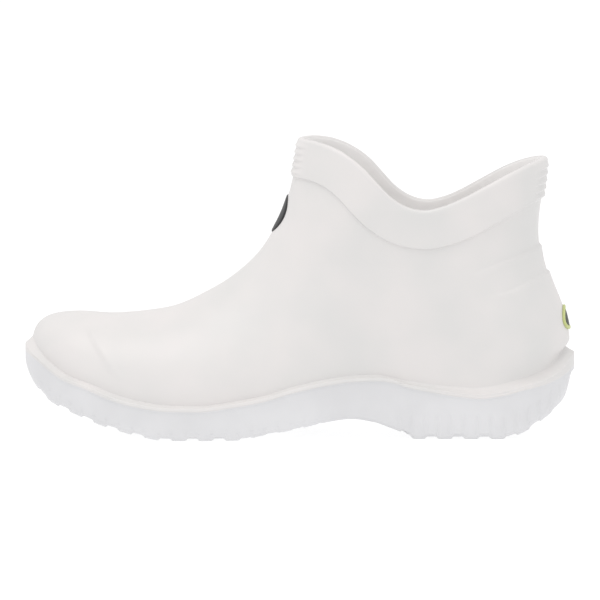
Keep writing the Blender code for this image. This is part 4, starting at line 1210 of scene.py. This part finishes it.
BADGE_RINGS = 15
BADGE_SPOKES = 96
BADGE_BASE = 0.00005
BADGE_EDGE = 0.0005
BADGE_EDGE_SHARE = 0.6
PATCH_CROWN = 0.0002
FRAME_CROWN = 0.0003
INLAY_CROWN = 0.0001
INLAY_GAP = 0.0002
INLAY_SHARE = 0.7

# The part of the upper that a badge may cover: the points each side of the centre line, and its half sizes.
MAP_POINTS = 44
MAP_HALF_WIDTH = 0.019
MAP_HALF_LENGTH = 0.02
MAP_COLUMNS = 77
SHAFT_START = 0.3


def skin_map(outer, centre_up, at_front):
    """A function from across and rise, round a point on a centre line, to places and normals on the upper."""
    size = outer.shape[1]
    shift = size // 2 if at_front else 0
    rows = np.roll(outer, shift, axis=1)
    normal = np.roll(normals_of(outer), shift, axis=1)
    window = slice(size // 2 - MAP_POINTS, size // 2 + MAP_POINTS + 1)
    rows, normal = rows[:, window], normal[:, window]
    middle = rows[:, MAP_POINTS]
    if rows[0, 0, 0] > rows[0, -1, 0]:
        rows, normal = rows[:, ::-1], normal[:, ::-1]
    run = run_of(middle)
    shaft_start = SHAFT_START * SOLE_LENGTH if at_front else 0.0
    run = run - run[int(np.argmax((middle[:, 2] >= centre_up) & (middle[:, 1] > shaft_start)))]
    grid_across = np.linspace(-MAP_HALF_WIDTH, MAP_HALF_WIDTH, MAP_COLUMNS)
    near = np.abs(run) < MAP_HALF_LENGTH
    skin = []
    for row, mid, tilt in zip(rows[near], middle[near], normal[near]):
        columns = np.vstack((row.T, tilt.T))
        skin.append([np.interp(grid_across, row[:, 0] - mid[0], column) for column in columns])
    skin = np.array(skin)
    runs = run[near]

    def place(across, rise):
        """The mix of the four nearest places and normals of the skin."""
        i = np.interp(rise, runs, np.arange(len(runs)))
        j = np.interp(across, grid_across, np.arange(len(grid_across)))
        i0, j0 = np.minimum(i.astype(int), len(runs) - 2), np.minimum(j.astype(int), len(grid_across) - 2)
        u, v = (i - i0)[..., None], (j - j0)[..., None]
        corner = [skin[i0 + a, :, j0 + b] for a, b in ((0, 0), (1, 0), (0, 1), (1, 1))]
        mixed = (1 - v) * ((1 - u) * corner[0] + u * corner[1]) + v * ((1 - u) * corner[2] + u * corner[3])
        return mixed[..., :3], unit(mixed[..., 3:])

    return place


def oval_button(place, width, length, thickness, crown, hole=None):
    """An oval laid on the surface: rings out over a crowned face, down a rounded edge and back underneath."""
    inner_size = hole or (0.0, 0.0)
    edge = min(BADGE_EDGE, thickness * BADGE_EDGE_SHARE)
    profile = []
    for share in np.linspace(0, 1, BADGE_RINGS):
        rim = edge if share == 1.0 or (hole and share == 0.0) else 0.0
        face = crown * (2 * share - 1) ** 2 * (1 if hole else share)
        profile.append((share, BADGE_BASE + thickness - face - rim))
    profile = np.array(profile + [(1.0, BADGE_BASE), (0.0, BADGE_BASE)])
    spoke = np.linspace(0, 2 * math.pi, BADGE_SPOKES, endpoint=False)
    share = profile[:, :1]
    height = profile[:, 1, None, None]
    half_width = (inner_size[0] + (width - inner_size[0]) * share) / 2
    half_length = (inner_size[1] + (length - inner_size[1]) * share) / 2
    points, normal = place(half_width * np.cos(spoke), half_length * np.sin(spoke))
    return points + normal * height


def make_badges(outer, materials):
    """The plain oval on the shaft's front, and the frame and inlay on the heel."""
    front = skin_map(outer, FRONT_HEIGHT - CUFF_HEIGHT - PATCH_DROP, True)
    oval = oval_button(front, PATCH_WIDTH, PATCH_LENGTH, PATCH_THICKNESS, PATCH_CROWN)
    heel = skin_map(outer, float(sole_level("ledge", BACK[0, 0])) + BADGE_RISE, False)
    hole = (BADGE_WIDTH - 2 * BADGE_FRAME, BADGE_LENGTH - 2 * BADGE_FRAME)
    ring = oval_button(heel, BADGE_WIDTH, BADGE_LENGTH, BADGE_THICKNESS, FRAME_CROWN, hole)
    inlay_size = (hole[0] - INLAY_GAP, hole[1] - INLAY_GAP)
    inlay = oval_button(heel, *inlay_size, BADGE_THICKNESS * INLAY_SHARE, INLAY_CROWN)
    for name, rows, material, node in (
        ("front_oval", oval, materials[0], "front_patch"),
        ("heel_frame", ring, materials[1], "heel_badge"),
        ("heel_inlay", inlay, materials[2], "heel_badge_centre"),
    ):
        faces = grid_faces(len(rows), BADGE_SPOKES, wrap_rows=True, wrap_columns=True)
        make_piece(name, [(rows, faces)], material, node)


# Floor, light and camera

FLOOR_HALF = 60.0
FLOOR_GLOW = 0.82
STUDIO_WHITE = 0.93
BOX_PLACE = (0.38, -0.15, 1.38)
BOX_AIM = (0.0, 0.0, 0.05)
BOX_SIZE = 0.9
BOX_POWER = 5.3


def make_floor():
    """A wide pale floor, whose far part runs into the white behind it."""
    corners = [(x, y, 0.0) for y in (-FLOOR_HALF, FLOOR_HALF) for x in (-FLOOR_HALF, FLOOR_HALF)]
    mesh = bpy.data.meshes.new("floor")
    mesh.from_pydata(corners, [], [(0, 1, 3, 2)])
    floor = bpy.data.objects.new("floor", mesh)
    bpy.context.scene.collection.objects.link(floor)
    material, _, surface, _ = new_material("pale_floor", 0.9, {"Specular IOR Level": 0.1})
    surface.inputs["Base Color"].default_value = linear("#8A8A8A")
    surface.inputs["Emission Color"].default_value = linear("#FFFFFF")
    surface.inputs["Emission Strength"].default_value = FLOOR_GLOW
    mesh.materials.append(material)


def add_light(name, place, aim, size, power, colour):
    """A square soft box at a place, turned to face a point."""
    light = bpy.data.lights.new(name, "AREA")
    light.shape = "SQUARE"
    light.size = size
    light.energy = power
    light.color = linear(colour)[:3]
    obj = bpy.data.objects.new(name, light)
    bpy.context.scene.collection.objects.link(obj)
    obj.location = place
    away = np.array(place) - np.array(aim)
    flat = math.hypot(away[0], away[1])
    obj.rotation_euler = (math.atan2(flat, away[2]), 0, math.atan2(away[1], away[0]) + math.pi / 2)


def make_light():
    """White all round and one large soft box, overhead and a little to the camera's side."""
    world_light = bpy.data.worlds.new("studio")
    world_light.use_nodes = True
    background = world_light.node_tree.nodes["Background"]
    background.inputs["Color"].default_value = linear("#FFFFFF")
    background.inputs["Strength"].default_value = STUDIO_WHITE
    bpy.context.scene.world = world_light
    add_light("top_box", BOX_PLACE, BOX_AIM, BOX_SIZE, BOX_POWER, "#FFFAF7")


def make_camera():
    """A long lens square on the outer side, looking down a little at the place in the picture's centre."""
    camera = bpy.data.cameras.new("camera")
    camera.sensor_width = SENSOR_WIDTH
    camera.lens = SENSOR_WIDTH * CAMERA_DISTANCE / (PIXEL * IMAGE_WIDTH)
    camera.clip_end = CLIP_END
    obj = bpy.data.objects.new("camera", camera)
    bpy.context.scene.collection.objects.link(obj)
    level = math.cos(CAMERA_ELEVATION)
    reach = (level * math.cos(CAMERA_AZIMUTH), level * math.sin(CAMERA_AZIMUTH), math.sin(CAMERA_ELEVATION))
    obj.location = np.array([0.0, AIM_BACK + TIP_Y, AIM_UP]) + np.array(reach) * CAMERA_DISTANCE
    obj.rotation_euler = (math.pi / 2 - CAMERA_ELEVATION, 0, math.pi / 2 + CAMERA_AZIMUTH)
    bpy.context.scene.camera = obj
    bpy.context.scene.view_settings.view_transform = "Standard"


def main():
    """Makes the camera, the pieces with their materials, the floor and the light."""
    make_camera()
    outer = make_upper(moulded_foam_rubber())
    make_outsole(moulded_sole_rubber())
    make_footbed(knitted_footbed())
    badges = (
        printed_rubber("patch_rubber", "#1A1A1C", "#242426", 0.5),
        printed_rubber("frame_rubber", "#BBC47C", "#CBD292", 0.45),
        printed_rubber("inlay_rubber", "#23271A", "#2F3322", 0.5),
    )
    make_badges(outer, badges)
    make_floor()
    make_light()


main()
